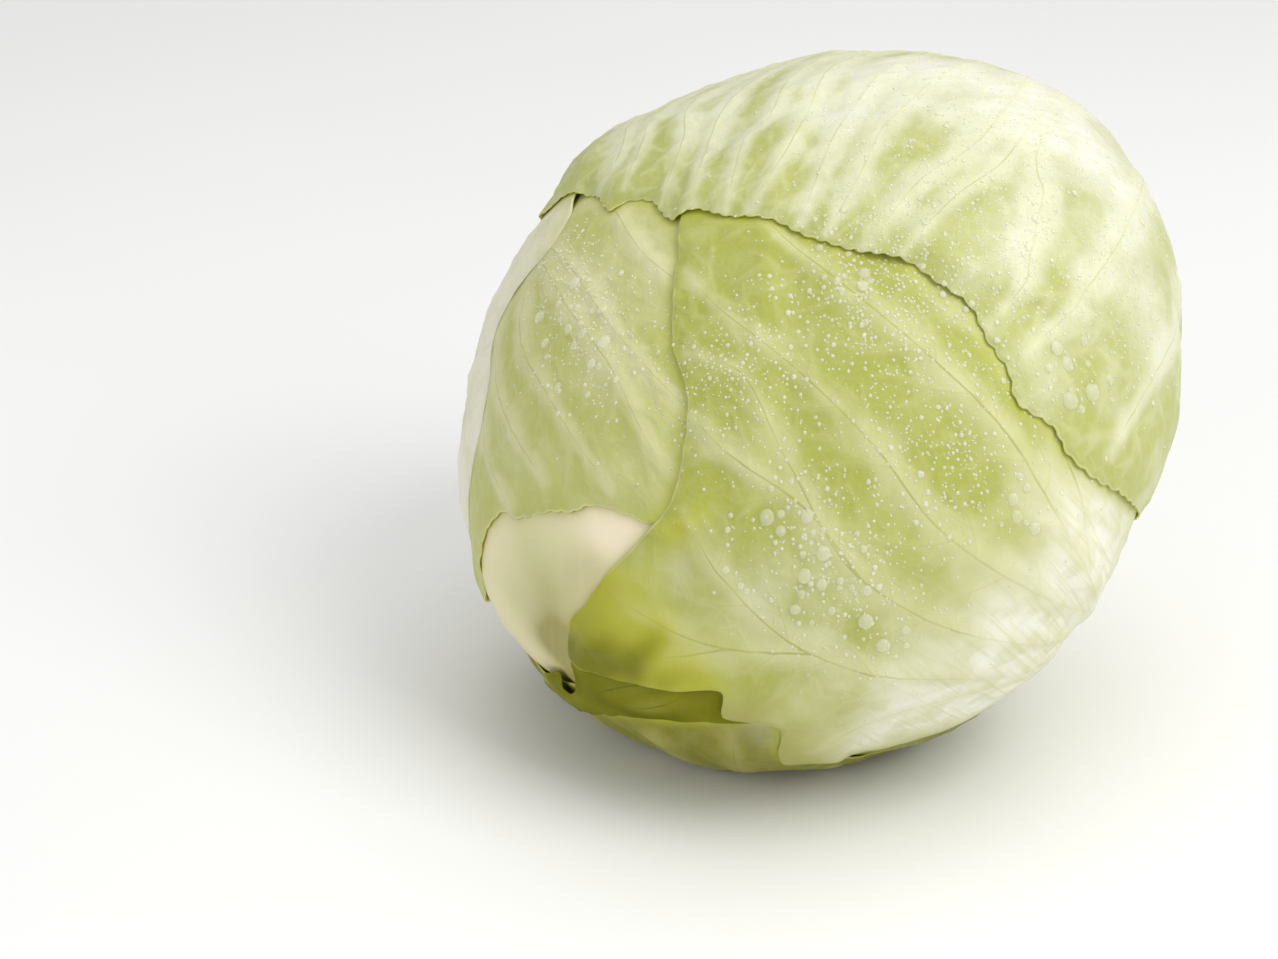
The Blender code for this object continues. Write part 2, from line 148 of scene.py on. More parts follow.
def inside(points: Array, outline: Array) -> Array:
    """Tell which flat points lie inside a closed outline.

    Args:
        points: flat places, one a row.
        outline: the corners of the outline.

    Returns:
        True for each place inside.
    """
    x, y = points[:, 0], points[:, 1]
    found = np.zeros(len(points), bool)
    for (x0, y0), (x1, y1) in zip(outline, np.roll(outline, -1, axis=0)):
        if y0 != y1:
            crosses = (y0 > y) != (y1 > y)
            found ^= crosses & (x < (x1 - x0) * (y - y0) / (y1 - y0) + x0)
    return found


def curve_through(line: Line, step: float, closed: bool = False) -> Array:
    """Draw a smooth curve through the corners of a line.

    Args:
        line: the corners.
        step: the distance between the curve's points.
        closed: whether the curve returns to its first corner.

    Returns:
        Points along the curve.
    """
    p = np.asarray(line, float)
    n = len(p)
    out: list[Array] = []
    for i in range(n if closed else n - 1):
        a, b = p[i], p[(i + 1) % n]
        before = p[i - 1] if closed or i > 0 else a + (a - b)
        after = p[(i + 2) % n] if closed or i < n - 2 else b + (b - a)
        span = float(np.linalg.norm(b - a))
        leave = (b - before) / (span + np.linalg.norm(a - before)) * span
        arrive = (after - a) / (span + np.linalg.norm(after - b)) * span
        count = max(1, round(span / step))
        for t in np.arange(count) / count:
            out.append(
                (2 * t**3 - 3 * t**2 + 1) * a
                + (t**3 - 2 * t**2 + t) * leave
                + (3 * t**2 - 2 * t**3) * b
                + (t**3 - t**2) * arrive
            )
    return np.array(out if closed else out + [p[-1]])


def grain(points: Array, size: float, seed: float = 0.0) -> Array:
    """Soft noise from -1 to 1.

    Args:
        points: places, flat or in space, one a row.
        size: the width of its lumps.
        seed: shifts the pattern.

    Returns:
        The noise at each place.
    """
    side = 24
    table = np.random.default_rng(1 + int(round(1000.0 * seed))).uniform(-1.0, 1.0, (side, side, side))
    where = np.zeros((len(points), 3))
    where[:, : points.shape[1]] = points / size
    cell = np.floor(where).astype(int)
    part = smooth(where - cell)
    total = np.zeros(len(points))
    for corner in np.ndindex(2, 2, 2):
        share = np.prod(np.where(np.array(corner) == 1, part, 1.0 - part), axis=1)
        i, j, k = ((cell + corner) % side).T
        total = total + share * table[i, j, k]
    return total


@dataclass(frozen=True)
class HeadForm:
    """The flattened ball that the leaves wrap, leaning on the table.

    A swelling has a direction, a height and a width in degrees. The floor is that far under the centre.
    """

    equator: float = 87.4
    pole: float = 65.0
    stem: Place = (0.55, 0.40, -0.74)
    swellings: Sequence[tuple[Place, float, float]] = (
        ((0.793, 0.257, 0.552), 6.8, 36.0),
        ((-0.643, 0.324, 0.694), 4.0, 21.5),
        ((-0.888, -0.297, -0.352), 1.8, 9.0),
        ((0.500, -0.366, -0.785), 5.9, 20.0),
        ((0.120, 0.070, -0.990), 5.5, 22.0),
    )
    floor: float = 72.0
    centre: Place = (-1.8, 0.0, 72.0)

    @property
    def axis(self) -> Array:
        """The stem's direction."""
        return unit(self.stem)

    def radius(self, d: Array) -> Array:
        """Distance from the centre to the outside, in the directions d.

        Args:
            d: unit directions.

        Returns:
            One distance in millimetres for each.
        """
        along = d @ self.axis
        radius = 1.0 / np.sqrt((1.0 - along**2) / self.equator**2 + along**2 / self.pole**2)
        for way, height, width in self.swellings:
            radius = radius + height * bell(degrees_from(d, way), width)
        return radius

    def floored(self, radius: Array, d: Array, clearance: Array | float) -> Array:
        """The radius kept above the table, as the head flattens where it rests."""
        return np.minimum(radius, (self.floor - clearance) / np.maximum(-d[:, 2], 1e-3))

    def placed(self, points: Array) -> Array:
        """Points about the head's centre, in the model's frame and in metres."""
        return (points + np.array(self.centre)) / 1000.0

    def across(self) -> tuple[Array, Array]:
        """Two directions square to the stem."""
        side = unit(np.cross(self.axis, (0.0, 0.0, 1.0)))
        return side, np.cross(self.axis, side)


@dataclass
class Pattern:
    """A leaf drawn flat round a chart's centre, with up along the leaf."""

    name: str
    centre: Place
    up: Place
    margin: Line
    midrib: Line
    veins: Sequence[Line]
    folds: Sequence[Line] = ()
    wave: float = 0.8
    # whether the leaves beneath get painted shadow along this leaf's margin
    casts: bool = True
    chart: float = 85.0

    def __post_init__(self) -> None:
        """Square the chart's axes."""
        self.out = unit(self.centre)
        self.upward = unit(np.asarray(self.up) - (np.asarray(self.up) @ self.out) * self.out)
        self.right = np.cross(self.upward, self.out)
        self.outline = np.array(self.margin, float)
        self.base = (self.outline[0] + self.outline[-1]) / 2.0

    def flat(self, d: Array) -> Array:
        """Places in the flat pattern of the directions d.

        Args:
            d: unit directions.

        Returns:
            The places, in millimetres.
        """
        angle = np.arccos(np.clip(d @ self.out, -1.0, 1.0))
        x, y = d @ self.right, d @ self.upward
        scale = self.chart * angle / np.maximum(np.hypot(x, y), 1e-9)
        return np.stack([x * scale, y * scale], axis=-1)

    def wrapped(self, p: Array) -> Array:
        """Directions of the flat places p.

        Args:
            p: flat places.

        Returns:
            Unit directions.
        """
        reach = np.maximum(np.linalg.norm(p, axis=1), 1e-9)
        angle = reach / self.chart
        side = (p[:, :1] * self.right + p[:, 1:] * self.upward) / reach[:, None]
        return np.cos(angle)[:, None] * self.out + np.sin(angle)[:, None] * side

    def depth(self, d: Array) -> Array:
        """How far inside the outline each direction is, negative outside it.

        Args:
            d: unit directions.

        Returns:
            The depths, in millimetres.
        """
        p = self.flat(d)
        gap, _ = line_gap(p, self.outline, closed=True)
        return np.where(inside(p, self.outline), gap, -gap)


@dataclass(frozen=True)
class Seat:
    """Where a leaf lies, one number for each direction asked for, in millimetres or as a weight."""

    radius: Array
    above: Array
    free: Array
    nearest: Array
    slack: Array


@dataclass
class Wrapping:
    """The leaves one over another on the head, from the innermost to the outermost.

    Sizes are in millimetres. Each pair says how far inside a margin something starts, and over what
    width it comes: a leaf held down by one above it, its sag beside a margin beneath it, and the
    leaves between them that bridge the sag.
    """

    form: HeadForm
    patterns: Sequence[Pattern]
    pitch: float = 1.55
    blade: float = 0.8
    ramp: float = 13.0
    blend: float = 26.0
    held: tuple[float, float] = (-8.0, 6.5)
    sag: tuple[float, float] = (0.8, 4.0)
    bridged: tuple[float, float] = (-7.0, 6.0)
    spare: float = 0.2
    play: float = 0.9
    far: float = 99.0

    def cover(self, depth: Array) -> Array:
        """How fully a leaf covers the places this far inside its margin."""
        return smooth((depth + self.ramp) / self.ramp)

    def clearance(self, above: Array) -> Array:
        """How far a leaf's inner face stays over the table, with room for the leaves above it."""
        return self.blade + (self.pitch + self.spare) * above + self.play * np.clip(above, 0.0, 1.0)

    def depths(self, d: Array) -> list[Array]:
        """How far inside each leaf the directions are."""
        return [pattern.depth(d) for pattern in self.patterns]

    def seat(self, d: Array, level: int) -> Seat:
        """Find where a leaf lies over those beneath it.

        Args:
            d: directions from the head's centre.
            level: the leaf's place in the order.

        Returns:
            The radius of its inner face, how many leaves lie above, how free it is of them, how far
            the nearest margin above is, and how hollow it lies beside the margins beneath it.
        """
        depths = self.depths(d)
        covers = [self.cover(depth) for depth in depths]
        wide = [smooth((depth + self.blend) / (2.0 * self.blend)) for depth in depths]
        radius = self.form.radius(d) - self.pitch * sum(wide) + self.pitch * sum(covers[:level])
        above = sum(covers[level + 1 :], np.zeros(len(d)))
        free = np.ones(len(d))
        nearest = np.full(len(d), self.far)
        for pattern, depth in zip(self.patterns[level + 1 :], depths[level + 1 :]):
            free = free * (1.0 - smooth((depth - self.held[0]) / self.held[1]))
            if pattern.casts:
                nearest = np.minimum(nearest, -depth)
        slack = np.zeros(len(d))
        for lower in range(level):
            hollow = self.pitch * covers[lower] * smooth((-depths[lower] - self.sag[0]) / self.sag[1])
            for depth in depths[lower + 1 : level]:
                hollow = hollow * (1.0 - smooth((depth - self.bridged[0]) / self.bridged[1]))
            slack = slack + hollow
        return Seat(radius, above, free, nearest, slack)


UP: Place = tuple(-HeadForm().axis)
PATTERNS: list[Pattern] = [
    Pattern(
        "under_leaf",
        (0.638, -0.438, -0.634),
        UP,
        [
            (-13, -56), (-40, -46), (-62, -20), (-72, 12), (-66, 40), (-46, 58), (-16, 68), (18, 68), (46, 54),
            (64, 28), (68, -4), (54, -34), (32, -52), (13, -56),
        ],
        [(0, -56), (-2, -20), (-4, 20), (-2, 54)],
        [
            [(-1, -30), (-24, 4), (-44, 34)], [(-3, 0), (-18, 28), (-28, 52)], [(-1, -30), (26, 4), (48, 30)],
            [(-3, 0), (14, 28), (24, 52)],
        ],
    ),
    Pattern(
        "right_leaf",
        (0.172, 0.863, 0.475),
        UP,
        [
            (-14, -108), (-40, -92), (-64, -60), (-76, -20), (-72, 22), (-56, 56), (-28, 78), (4, 84), (36, 76),
            (60, 52), (72, 16), (72, -24), (60, -64), (38, -94), (14, -108),
        ],
        [(0, -108), (2, -60), (3, -10), (2, 66)],
        [
            [(1, -78), (-30, -50), (-58, -14)], [(2, -50), (-30, -14), (-58, 20)],
            [(3, -20), (-22, 18), (-44, 50)], [(3, 10), (-12, 42), (-22, 64)], [(1, -78), (32, -52), (58, -18)],
            [(2, -50), (32, -16), (58, 18)], [(3, -20), (26, 16), (46, 48)], [(3, 10), (16, 40), (26, 62)],
        ],
    ),
    Pattern(
        "lower_leaf",
        (-0.071, -0.469, -0.880),
        UP,
        [
            (-12, -77), (-40, -66), (-66, -38), (-80, -4), (-74, 24), (-56, 40), (-38, 46), (-18, 52), (2, 55),
            (20, 52), (31, 42), (29, 27), (26, 12), (27, -8), (32, -34), (26, -60), (12, -77),
        ],
        [(0, -77), (-4, -40), (-8, 0), (-6, 40)],
        [
            [(-1, -60), (-30, -34), (-58, -8)], [(-4, -34), (-28, -6), (-54, 22)],
            [(-6, -10), (-22, 16), (-34, 36)], [(-4, -34), (8, -8), (20, 8)], [(-7, -4), (4, 20), (16, 40)],
        ],
    ),
    Pattern(
        "left_leaf",
        (-0.697, 0.482, 0.531),
        (-0.498, -0.858, 0.125),
        [
            (56, -160), (28, -142), (-2, -116), (-32, -84), (-58, -48), (-74, -10), (-80, 25), (-79, 60),
            (-73, 95), (-60, 122), (-42, 142), (-20, 153), (0, 152), (8, 142), (16, 131), (25, 121), (30, 118),
            (38, 110), (51, 97), (54, 90), (63, 82), (70, 79), (80, 75), (88, 71), (98, 54), (104, 30),
            (109, 0), (112, -35), (114, -70), (114, -100), (110, -130),
        ],
        [(83, -145), (62, -110), (40, -60), (18, 0), (4, 35), (-6, 72), (-13, 101), (-11, 127), (-12, 143)],
        [
            [(50, -84), (10, -60), (-44, -30)], [(40, -60), (0, -22), (-60, 14)],
            [(30, -30), (-10, 16), (-66, 56)], [(18, 0), (-22, 34), (-38, 70), (-60, 100)],
            [(10, 20), (-8, 52), (-20, 92), (-30, 122), (-34, 138)], [(50, -84), (74, -60), (100, -30)],
            [(40, -60), (66, -24), (98, 14)], [(30, -30), (52, 14), (78, 52)],
            [(18, 0), (36, 36), (47, 69), (49, 92)], [(10, 20), (30, 52), (33, 76), (32, 104)],
            [(4, 35), (16, 60), (14, 90), (12, 124)],
        ],
    ),
    Pattern(
        "back_leaf",
        (-0.792, 0.528, -0.307),
        UP,
        [
            (-17, -113), (-44, -98), (-68, -64), (-80, -18), (-80, 22), (-70, 54), (-52, 76), (-34, 86),
            (-22, 87), (-14, 84), (-8, 76), (-2, 68), (5, 62), (12, 62), (21, 63), (30, 61), (36, 56), (41, 49),
            (45, 42), (49, 35), (49, 26), (48, 12), (47, -10), (48, -36), (46, -66), (34, -94), (15, -113),
        ],
        [(0, -113), (-2, -60), (-4, 0), (-10, 66)],
        [
            [(-1, -80), (-30, -50), (-58, -10)], [(-2, -50), (-32, -12), (-60, 26)],
            [(-3, -20), (-26, 18), (-50, 56)], [(-4, 10), (-18, 44), (-30, 72)],
            [(-1, -80), (22, -56), (40, -26)], [(-2, -50), (20, -22), (40, 10)],
            [(-3, -20), (18, 10), (34, 40)], [(-4, 10), (6, 34), (14, 54)],
        ],
        casts=False,
    ),
    Pattern(
        "curled_leaf",
        (-0.335, -0.702, -0.628),
        UP,
        [
            (26, -116), (58, -84), (72, -48), (76, -18), (64, 2), (40, 6), (20, 8), (6, 9), (-8, 10), (-23, 6),
            (-31, 3), (-37, 3), (-38, 8), (-34, 14), (-27, 17), (-25, 13), (-21, 16), (-22, 20), (-18, 24),
            (-6, 33), (24, 43), (58, 38), (86, 16), (98, -14), (96, -50), (78, -86), (46, -116),
        ],
        [(38, -114), (70, -78), (84, -36), (78, 2), (52, 20), (20, 22), (-8, 19), (-28, 10)],
        [
            [(84, -36), (90, -10), (84, 6)], [(66, 12), (56, 26), (44, 34)], [(36, 21), (24, 30), (8, 34)],
            [(20, 22), (6, 16), (-8, 14)],
        ],
        wave=0.9,
    ),
    Pattern(
        "front_leaf",
        (0.191, -0.937, 0.293),
        UP,
        [
            (-14, -157), (-20, -132), (-23, -112), (-25, -97), (-32, -83.5), (-42.2, -74.7), (-54.3, -65.8),
            (-64, -58), (-71, -53), (-77, -47), (-74, -39), (-68, -33), (-65, -28), (-69, -24), (-74, -19),
            (-69, -13), (-80, -6), (-92, 4), (-102, 15), (-94, 23), (-87, 24), (-75, 27), (-62, 28), (-47, 30),
            (-35, 38), (-25, 48), (-18, 62), (-8, 72), (6, 84), (16, 92), (34, 96), (54, 86), (66, 68),
            (72, 44), (73, 16), (70, -14), (66, -46), (58, -80), (46, -112), (30, -138), (14, -157),
        ],
        [(0, -157), (3, -110), (7, -70), (11, -40), (18, -14), (21, 10), (25, 43), (29, 62), (36, 84)],
        [
            [(6, -80), (-3, -44), (-7, -17), (-3, 5), (-1, 30), (-1, 60), (2, 76)],
            [(4, -95), (-14, -52), (-26, -13), (-19, 17), (-11, 40), (-17, 56)],
            [(-26, -13), (-24, 6), (-28, 30), (-28, 42)],
            [(3, -108), (-28, -48), (-46, -18), (-49, 8), (-46, 26)], [(-46, -18), (-64, 0), (-74, 20)],
            [(-58, -6), (-78, 4), (-94, 16)], [(3, -118), (-20, -70), (-44, -46), (-66, -42)],
            [(9, -56), (28, -20), (40, 24), (44, 76)], [(6, -80), (32, -44), (52, 0), (60, 60)],
            [(4, -100), (32, -72), (56, -30), (64, 20)],
        ],
    ),
    Pattern(
        "cap_leaf",
        (0.453, -0.271, 0.849),
        UP,
        [
            (-10, -158), (-26, -136), (-46, -106), (-62, -78), (-69, -53), (-71, -34), (-69, -20), (-65, -14),
            (-62, -4), (-56, -1), (-50, 4), (-42, 8), (-36, 17), (-31, 22), (-25, 36), (-15, 48), (-9, 54),
            (2, 68), (9, 74), (13, 82), (28, 86), (36, 92), (37, 97), (52, 97), (66, 101), (79, 106), (96, 104),
            (109, 92), (115, 72), (117, 46), (112, 18), (102, -10), (90, -40), (74, -72), (54, -106),
            (30, -138), (12, -158),
        ],
        [(1, -158), (14, -128), (30, -94), (44, -60), (58, -24), (71, 6), (84, 36), (94, 62), (96, 88)],
        [
            [(25, -104), (-12, -92), (-50, -86)], [(34, -84), (-4, -62), (-40, -44), (-64, -32)],
            [(40, -70), (10, -44), (-14, -30), (-38, -15), (-52, -4)],
            [(46, -54), (22, -24), (1, -11), (-20, -7), (-35, -3), (-46, 4)],
            [(51, -42), (26, -24), (8, -10), (-4, -1), (-13, 10), (-30, 25)],
            [(54, -34), (34, -20), (14, -6), (1, 5), (-7, 17), (-27, 33)],
            [(58, -24), (46, -14), (36, -2), (30, 5), (14, 21), (-1, 30), (-20, 42)],
            [(62, -14), (50, 0), (36, 17), (20, 30), (7, 38), (-14, 48)],
            [(66, -4), (60, 10), (52, 21), (40, 30), (22, 41), (-2, 60)],
            [(70, 4), (62, 20), (53, 32), (37, 44), (29, 54), (3, 66)],
            [(76, 18), (66, 36), (54, 50), (46, 58), (30, 67), (12, 75)],
            [(80, 28), (74, 46), (65, 58), (50, 66), (37, 74), (22, 83)],
            [(86, 42), (80, 56), (68, 69), (58, 77), (40, 90)],
            [(91, 54), (83, 68), (70, 77), (57, 87), (50, 95)], [(30, -94), (46, -96), (58, -90)],
            [(44, -60), (62, -62), (76, -54)], [(58, -24), (78, -24), (92, -14)],
            [(71, 6), (90, 10), (106, 24)], [(84, 36), (98, 46), (108, 62)],
        ],
        folds=([(-27, 27), (-13, -7), (-6, -24)], [(-31, 14), (-34, 3), (-40, -17)]),
    ),
]


@dataclass
class Shades:
    """A material's node tree, with short calls for the nodes that the finishes share."""

    name: str

    def __post_init__(self) -> None:
        """Make the material and take hold of its surface shader."""
        self.material = bpy.data.materials.new(self.name)
        self.material.use_nodes = True
        self.tree = self.material.node_tree
        self.surface = self.tree.nodes["Principled BSDF"]

    def node(self, kind: str, **values: object) -> bpy.types.Node:
        """Add a node and set its properties.

        Args:
            kind: the node's type.
            values: its properties.

        Returns:
            The node.
        """
        made = self.tree.nodes.new(kind)
        for key, value in values.items():
            setattr(made, key, value)
        return made

    def feed(self, socket: Socket, value: object) -> None:
        """Link a node's output to a socket, or set its value.

        Args:
            socket: the input.
            value: an output, a number or a colour.
        """
        if isinstance(value, bpy.types.NodeSocket):
            self.tree.links.new(value, socket)
        elif isinstance(value, tuple) and len(value) == 3 and len(socket.default_value) == 4:
            socket.default_value = (*value, 1.0)
        else:
            socket.default_value = value

    def fed(self, kind: str, output: str, **values: object) -> Socket:
        """Add a node, fill its inputs and give one output; names have underscores for spaces.

        Args:
            kind: the node's type.
            output: which output.
            values: what goes into each input.

        Returns:
            The output.
        """
        made = self.node(kind)
        for name, value in values.items():
            self.feed(made.inputs[name.replace("_", " ")], value)
        return made.outputs[output]

    def weight(self, gap: Gap) -> Socket:
        """One of the piece's own attributes."""
        return self.node("ShaderNodeAttribute", attribute_name=gap.value).outputs["Fac"]

    def flat(self, name: str) -> Socket:
        """The piece's own flat map."""
        return self.node("ShaderNodeUVMap", uv_map=name).outputs["UV"]

    def place(self) -> Socket:
        """Object coordinates."""
        return self.node("ShaderNodeTexCoord").outputs["Object"]

    def ramp(
        self, value: object, low: float, high: float, start: float = 0.0, end: float = 1.0
    ) -> Socket:
        """Ease a value between two ends.

        Args:
            value: what is read.
            low: where it starts.
            high: where it ends.
            start: the result at low.
            end: the result at high.

        Returns:
            The eased value.
        """
        made = self.node("ShaderNodeMapRange", interpolation_type="SMOOTHSTEP")
        names = ("Value", "From Min", "From Max", "To Min", "To Max")
        for name, given in zip(names, (value, low, high, start, end)):
            self.feed(made.inputs[name], given)
        return made.outputs["Result"]

    def maths(self, kind: str, *values: object) -> Socket:
        """A sum, product or other step of arithmetic.

        Args:
            kind: the operation.
            values: what goes in.

        Returns:
            The result.
        """
        made = self.node("ShaderNodeMath", operation=kind)
        for socket, value in zip(made.inputs, values):
            self.feed(socket, value)
        return made.outputs[0]

    def times(self, first: object, *others: object) -> object:
        """The product of some values.

        Args:
            first: the first value.
            others: the other values.

        Returns:
            The result.
        """
        for other in others:
            first = self.maths("MULTIPLY", first, other)
        return first

    def mix(self, amount: object, low: object, high: object) -> Socket:
        """Mix two colours, the second by the amount.

        Args:
            amount: 0 to 1.
            low: the first colour.
            high: the second.

        Returns:
            The mixed colour.
        """
        made = self.node("ShaderNodeMix", data_type="RGBA")
        for socket, value in ((0, amount), (6, low), (7, high)):
            self.feed(made.inputs[socket], value)
        return made.outputs[2]

    def layered(self, body: object, *layers: Sequence[object]) -> Socket:
        """Lay colours over a body, one after another.

        Args:
            body: the colour to start from.
            layers: each one's colour, and the values whose product says how much of it there is.

        Returns:
            The colour with all of them.
        """
        for colour, *amounts in layers:
            body = self.mix(self.times(*amounts), body, colour)
        return body

    def spread(self, source: object, across: float, along: float, turn: float = 0.0) -> Socket:
        """Scale a pattern's coordinates."""
        scale, rotation = (across, along, 1.0), (0.0, 0.0, turn)
        return self.fed("ShaderNodeMapping", "Vector", Vector=source, Scale=scale, Rotation=rotation)

    def noise(
        self, where: object, scale: float, detail: float = 2.0, rough: float = 0.5, bend: float = 0.0
    ) -> Socket:
        """Cloudy noise from about 0.3 to 0.7.

        Args:
            where: the coordinates.
            scale: lumps to a unit.
            detail: how many finer layers.
            rough: how strong those are.
            bend: how far it is warped.

        Returns:
            The noise.
        """
        values = {"Vector": where, "Scale": scale, "Detail": detail, "Roughness": rough, "Distortion": bend}
        return self.fed("ShaderNodeTexNoise", "Fac", **values)

    def net(self, where: Socket, scale: float, width: float) -> Socket:
        """A net of thin lines, warped a little.

        Args:
            where: the coordinates.
            scale: cells in each unit.
            width: the lines' half width.

        Returns:
            1 on the lines, 0 in the cells.
        """
        bent = self.node("ShaderNodeVectorMath", operation="MULTIPLY_ADD")
        for socket, value in zip(bent.inputs, (self.noise(where, 18.0, 2.0), (0.06, 0.06, 0.06), where)):
            self.feed(socket, value)
        made = self.node("ShaderNodeTexVoronoi", feature="DISTANCE_TO_EDGE")
        self.feed(made.inputs["Vector"], bent.outputs[0])
        self.feed(made.inputs["Scale"], scale)
        return self.ramp(made.outputs["Distance"], 0.0, width, 1.0, 0.0)

    def bump(self, height: object, strength: float, distance: float, **under: object) -> Socket:
        """Raise the surface by a height.

        Args:
            height: the height's pattern.
            strength: how much of it shows.
            distance: the height of its full range, in metres.
            under: Normal, a bump that this one adds to, if there is one.

        Returns:
            The bumped normal.
        """
        values = {"Height": height, "Strength": strength, "Distance": distance, **under}
        return self.fed("ShaderNodeBump", "Normal", **values)

    def dressed(self, **values: object) -> bpy.types.Material:
        """Fill the surface shader's inputs, named with underscores for spaces, and give the material.

        Args:
            values: what goes into each input.

        Returns:
            The finished material.
        """
        for name, value in values.items():
            self.feed(self.surface.inputs[name.replace("_", " ")], value)
        return self.material


@dataclass(frozen=True)
class LeafFinish:
    """Waxy leaf: mottled green between pale veins, each with a thin dark line along it."""

    green: Colour = (0.38, 0.405, 0.080)
    pale: Colour = (0.55, 0.56, 0.265)
    rib: Colour = (0.63, 0.62, 0.34)
    line: Colour = (0.34, 0.36, 0.085)
    white: Colour = (0.80, 0.78, 0.61)
    yellow: Colour = (0.53, 0.525, 0.045)
    olive: Colour = (0.17, 0.17, 0.001)
    beige: Colour = (0.40, 0.37, 0.115)
    # painted shade: the olive dark laid along the very edge and under the margins of the leaves above
    painted_shade: Colour = (0.46, 0.48, 0.045)
    rim: Colour = (0.72, 0.74, 0.42)
    band: float = 5.0
    gloss: float = 0.42
    shine: float = 0.45
    network: float = 0.07
    mottle: float = 1.0

    def material(self, name: str) -> bpy.types.Material:
        """Build the leaf's material.

        Args:
            name: what the material is called.

        Returns:
            The material, which reads the leaf's own flat map and attributes.
        """
        made = Shades(name)
        flat = made.flat("flat")
        net = made.net(flat, 21.0, 0.16)
        plain = made.ramp(made.weight(Gap.WHITE), 0.15, 0.85, 1.0, 0.22)
        body = self.mottled(made, flat, net)
        body = self.veined(made, flat, body, plain)
        fine = made.bump(made.noise(flat, 170.0, 3.0, 0.6), 0.30, 0.00010)
        cells = made.bump(made.times(net, plain), 0.20, 0.00012, Normal=fine)
        wax = made.ramp(made.noise(flat, 24.0, 3.0), 0.3, 0.7, self.gloss - 0.05, self.gloss + 0.10)
        return made.dressed(
            Base_Color=self.olive_rim_and_painted_shade(made, body),
            Roughness=wax,
            Normal=made.bump(made.noise(flat, 30.0, 2.0), 0.35, 0.0005, Normal=cells),
            Subsurface_Weight=0.35,
            Subsurface_Radius=(1.0, 0.9, 0.35),
            Subsurface_Scale=0.0025,
            Specular_IOR_Level=self.shine,
            Coat_Weight=0.16 * self.shine,
            Coat_Roughness=0.30,
            IOR=1.42,
        )

    def mottled(self, made: Shades, flat: Socket, net: Socket) -> Socket:
        """The blade between the veins.

        Args:
            made: the material in the making.
            flat: the leaf's flat map.
            net: the fine net of lines.

        Returns:
            Green and pale clouds, whiter towards the stem.
        """
        clouds = made.ramp(made.noise(flat, 6.0, 2.0, 0.45, 0.3), 0.36, 0.64)
        blotch = made.ramp(made.noise(flat, 12.0, 2.0, 0.5, 0.2), 0.44, 0.66)
        fleck = made.ramp(made.noise(flat, 52.0, 2.0, 0.5), 0.34, 0.70)
        between = made.times(made.ramp(made.weight(Gap.RIB), 1.5, 9.0), 0.62)
        amount = made.ramp(made.maths("ADD", between, made.times(clouds, 0.50)), 0.18, 0.98)
        return made.layered(
            made.mix(amount, self.pale, self.green),
            (self.green, blotch, 0.20 * self.mottle),
            (self.green, made.weight(Gap.GREEN), 0.85),
            (self.pale, fleck, 0.08),
            (self.rib, net, self.network),
            (self.white, made.weight(Gap.WHITE), made.ramp(blotch, 0.0, 1.0, 1.0, 0.75), 0.92),
        )

    def veined(self, made: Shades, flat: Socket, body: Socket, plain: Socket) -> Socket:
        """Draw the veins on the blade.

        Args:
            made: the material in the making.
            flat: the leaf's flat map.
            body: the blade's colour.
            plain: how plainly the dark lines show.

        Returns:
            The blade with pale bands, dark lines and the streaks of its white part.
        """
        branch = made.weight(Gap.BRANCH)
        uneven = made.ramp(made.noise(flat, 9.0, 1.0), 0.35, 0.65, 0.25, 0.66)
        worn = made.times(plain, made.ramp(made.noise(flat, 7.0, 2.0), 0.34, 0.62, 0.30, 0.74))
        streaks = made.noise(made.spread(flat, 70.0, 4.0), 1.0, 3.0, 0.6, 0.3)
        return made.layered(
            body,
            (self.rib, made.ramp(made.weight(Gap.RIB), 0.0, self.band, 1.0, 0.0), uneven),
            (self.rib, made.ramp(branch, 0.0, 2.2, 1.0, 0.0), 0.20),
            (self.line, made.ramp(made.weight(Gap.LINE), 0.06, 0.42, 1.0, 0.0), worn),
            (self.line, made.ramp(branch, 0.05, 0.36, 1.0, 0.0), plain, 0.16),
            (self.pale, made.ramp(streaks, 0.45, 0.72, 0.0, 0.5), made.weight(Gap.WHITE)),
        )

    def olive_rim_and_painted_shade(self, made: Shades, body: Socket) -> Socket:
        """Lay on the beige and olive patches, the pale rim, painted shade along the very edge and painted
        shadow under the margins of the leaves above.

        Args:
            made: the graph.
            body: the colour so far.

        Returns:
            The new colour.
        """
        olive, edge = made.weight(Gap.OLIVE), made.weight(Gap.EDGE)
        return made.layered(
            body,
            (self.beige, made.weight(Gap.BEIGE)),
            (self.yellow, made.ramp(olive, 0.0, 0.72)),
            (self.olive, made.ramp(olive, 0.30, 1.10)),
            (self.rim, made.ramp(edge, 0.1, 0.8, 0.5, 0.0), made.ramp(olive, 0.1, 0.6, 1.0, 0.1)),
            # painted shade along the very edge, then painted shadow where a leaf above lies close
            (self.painted_shade, made.ramp(edge, 0.0, 0.16, 0.75, 0.0)),
            (self.painted_shade, made.weight(Gap.SHADE), 0.60),
        )


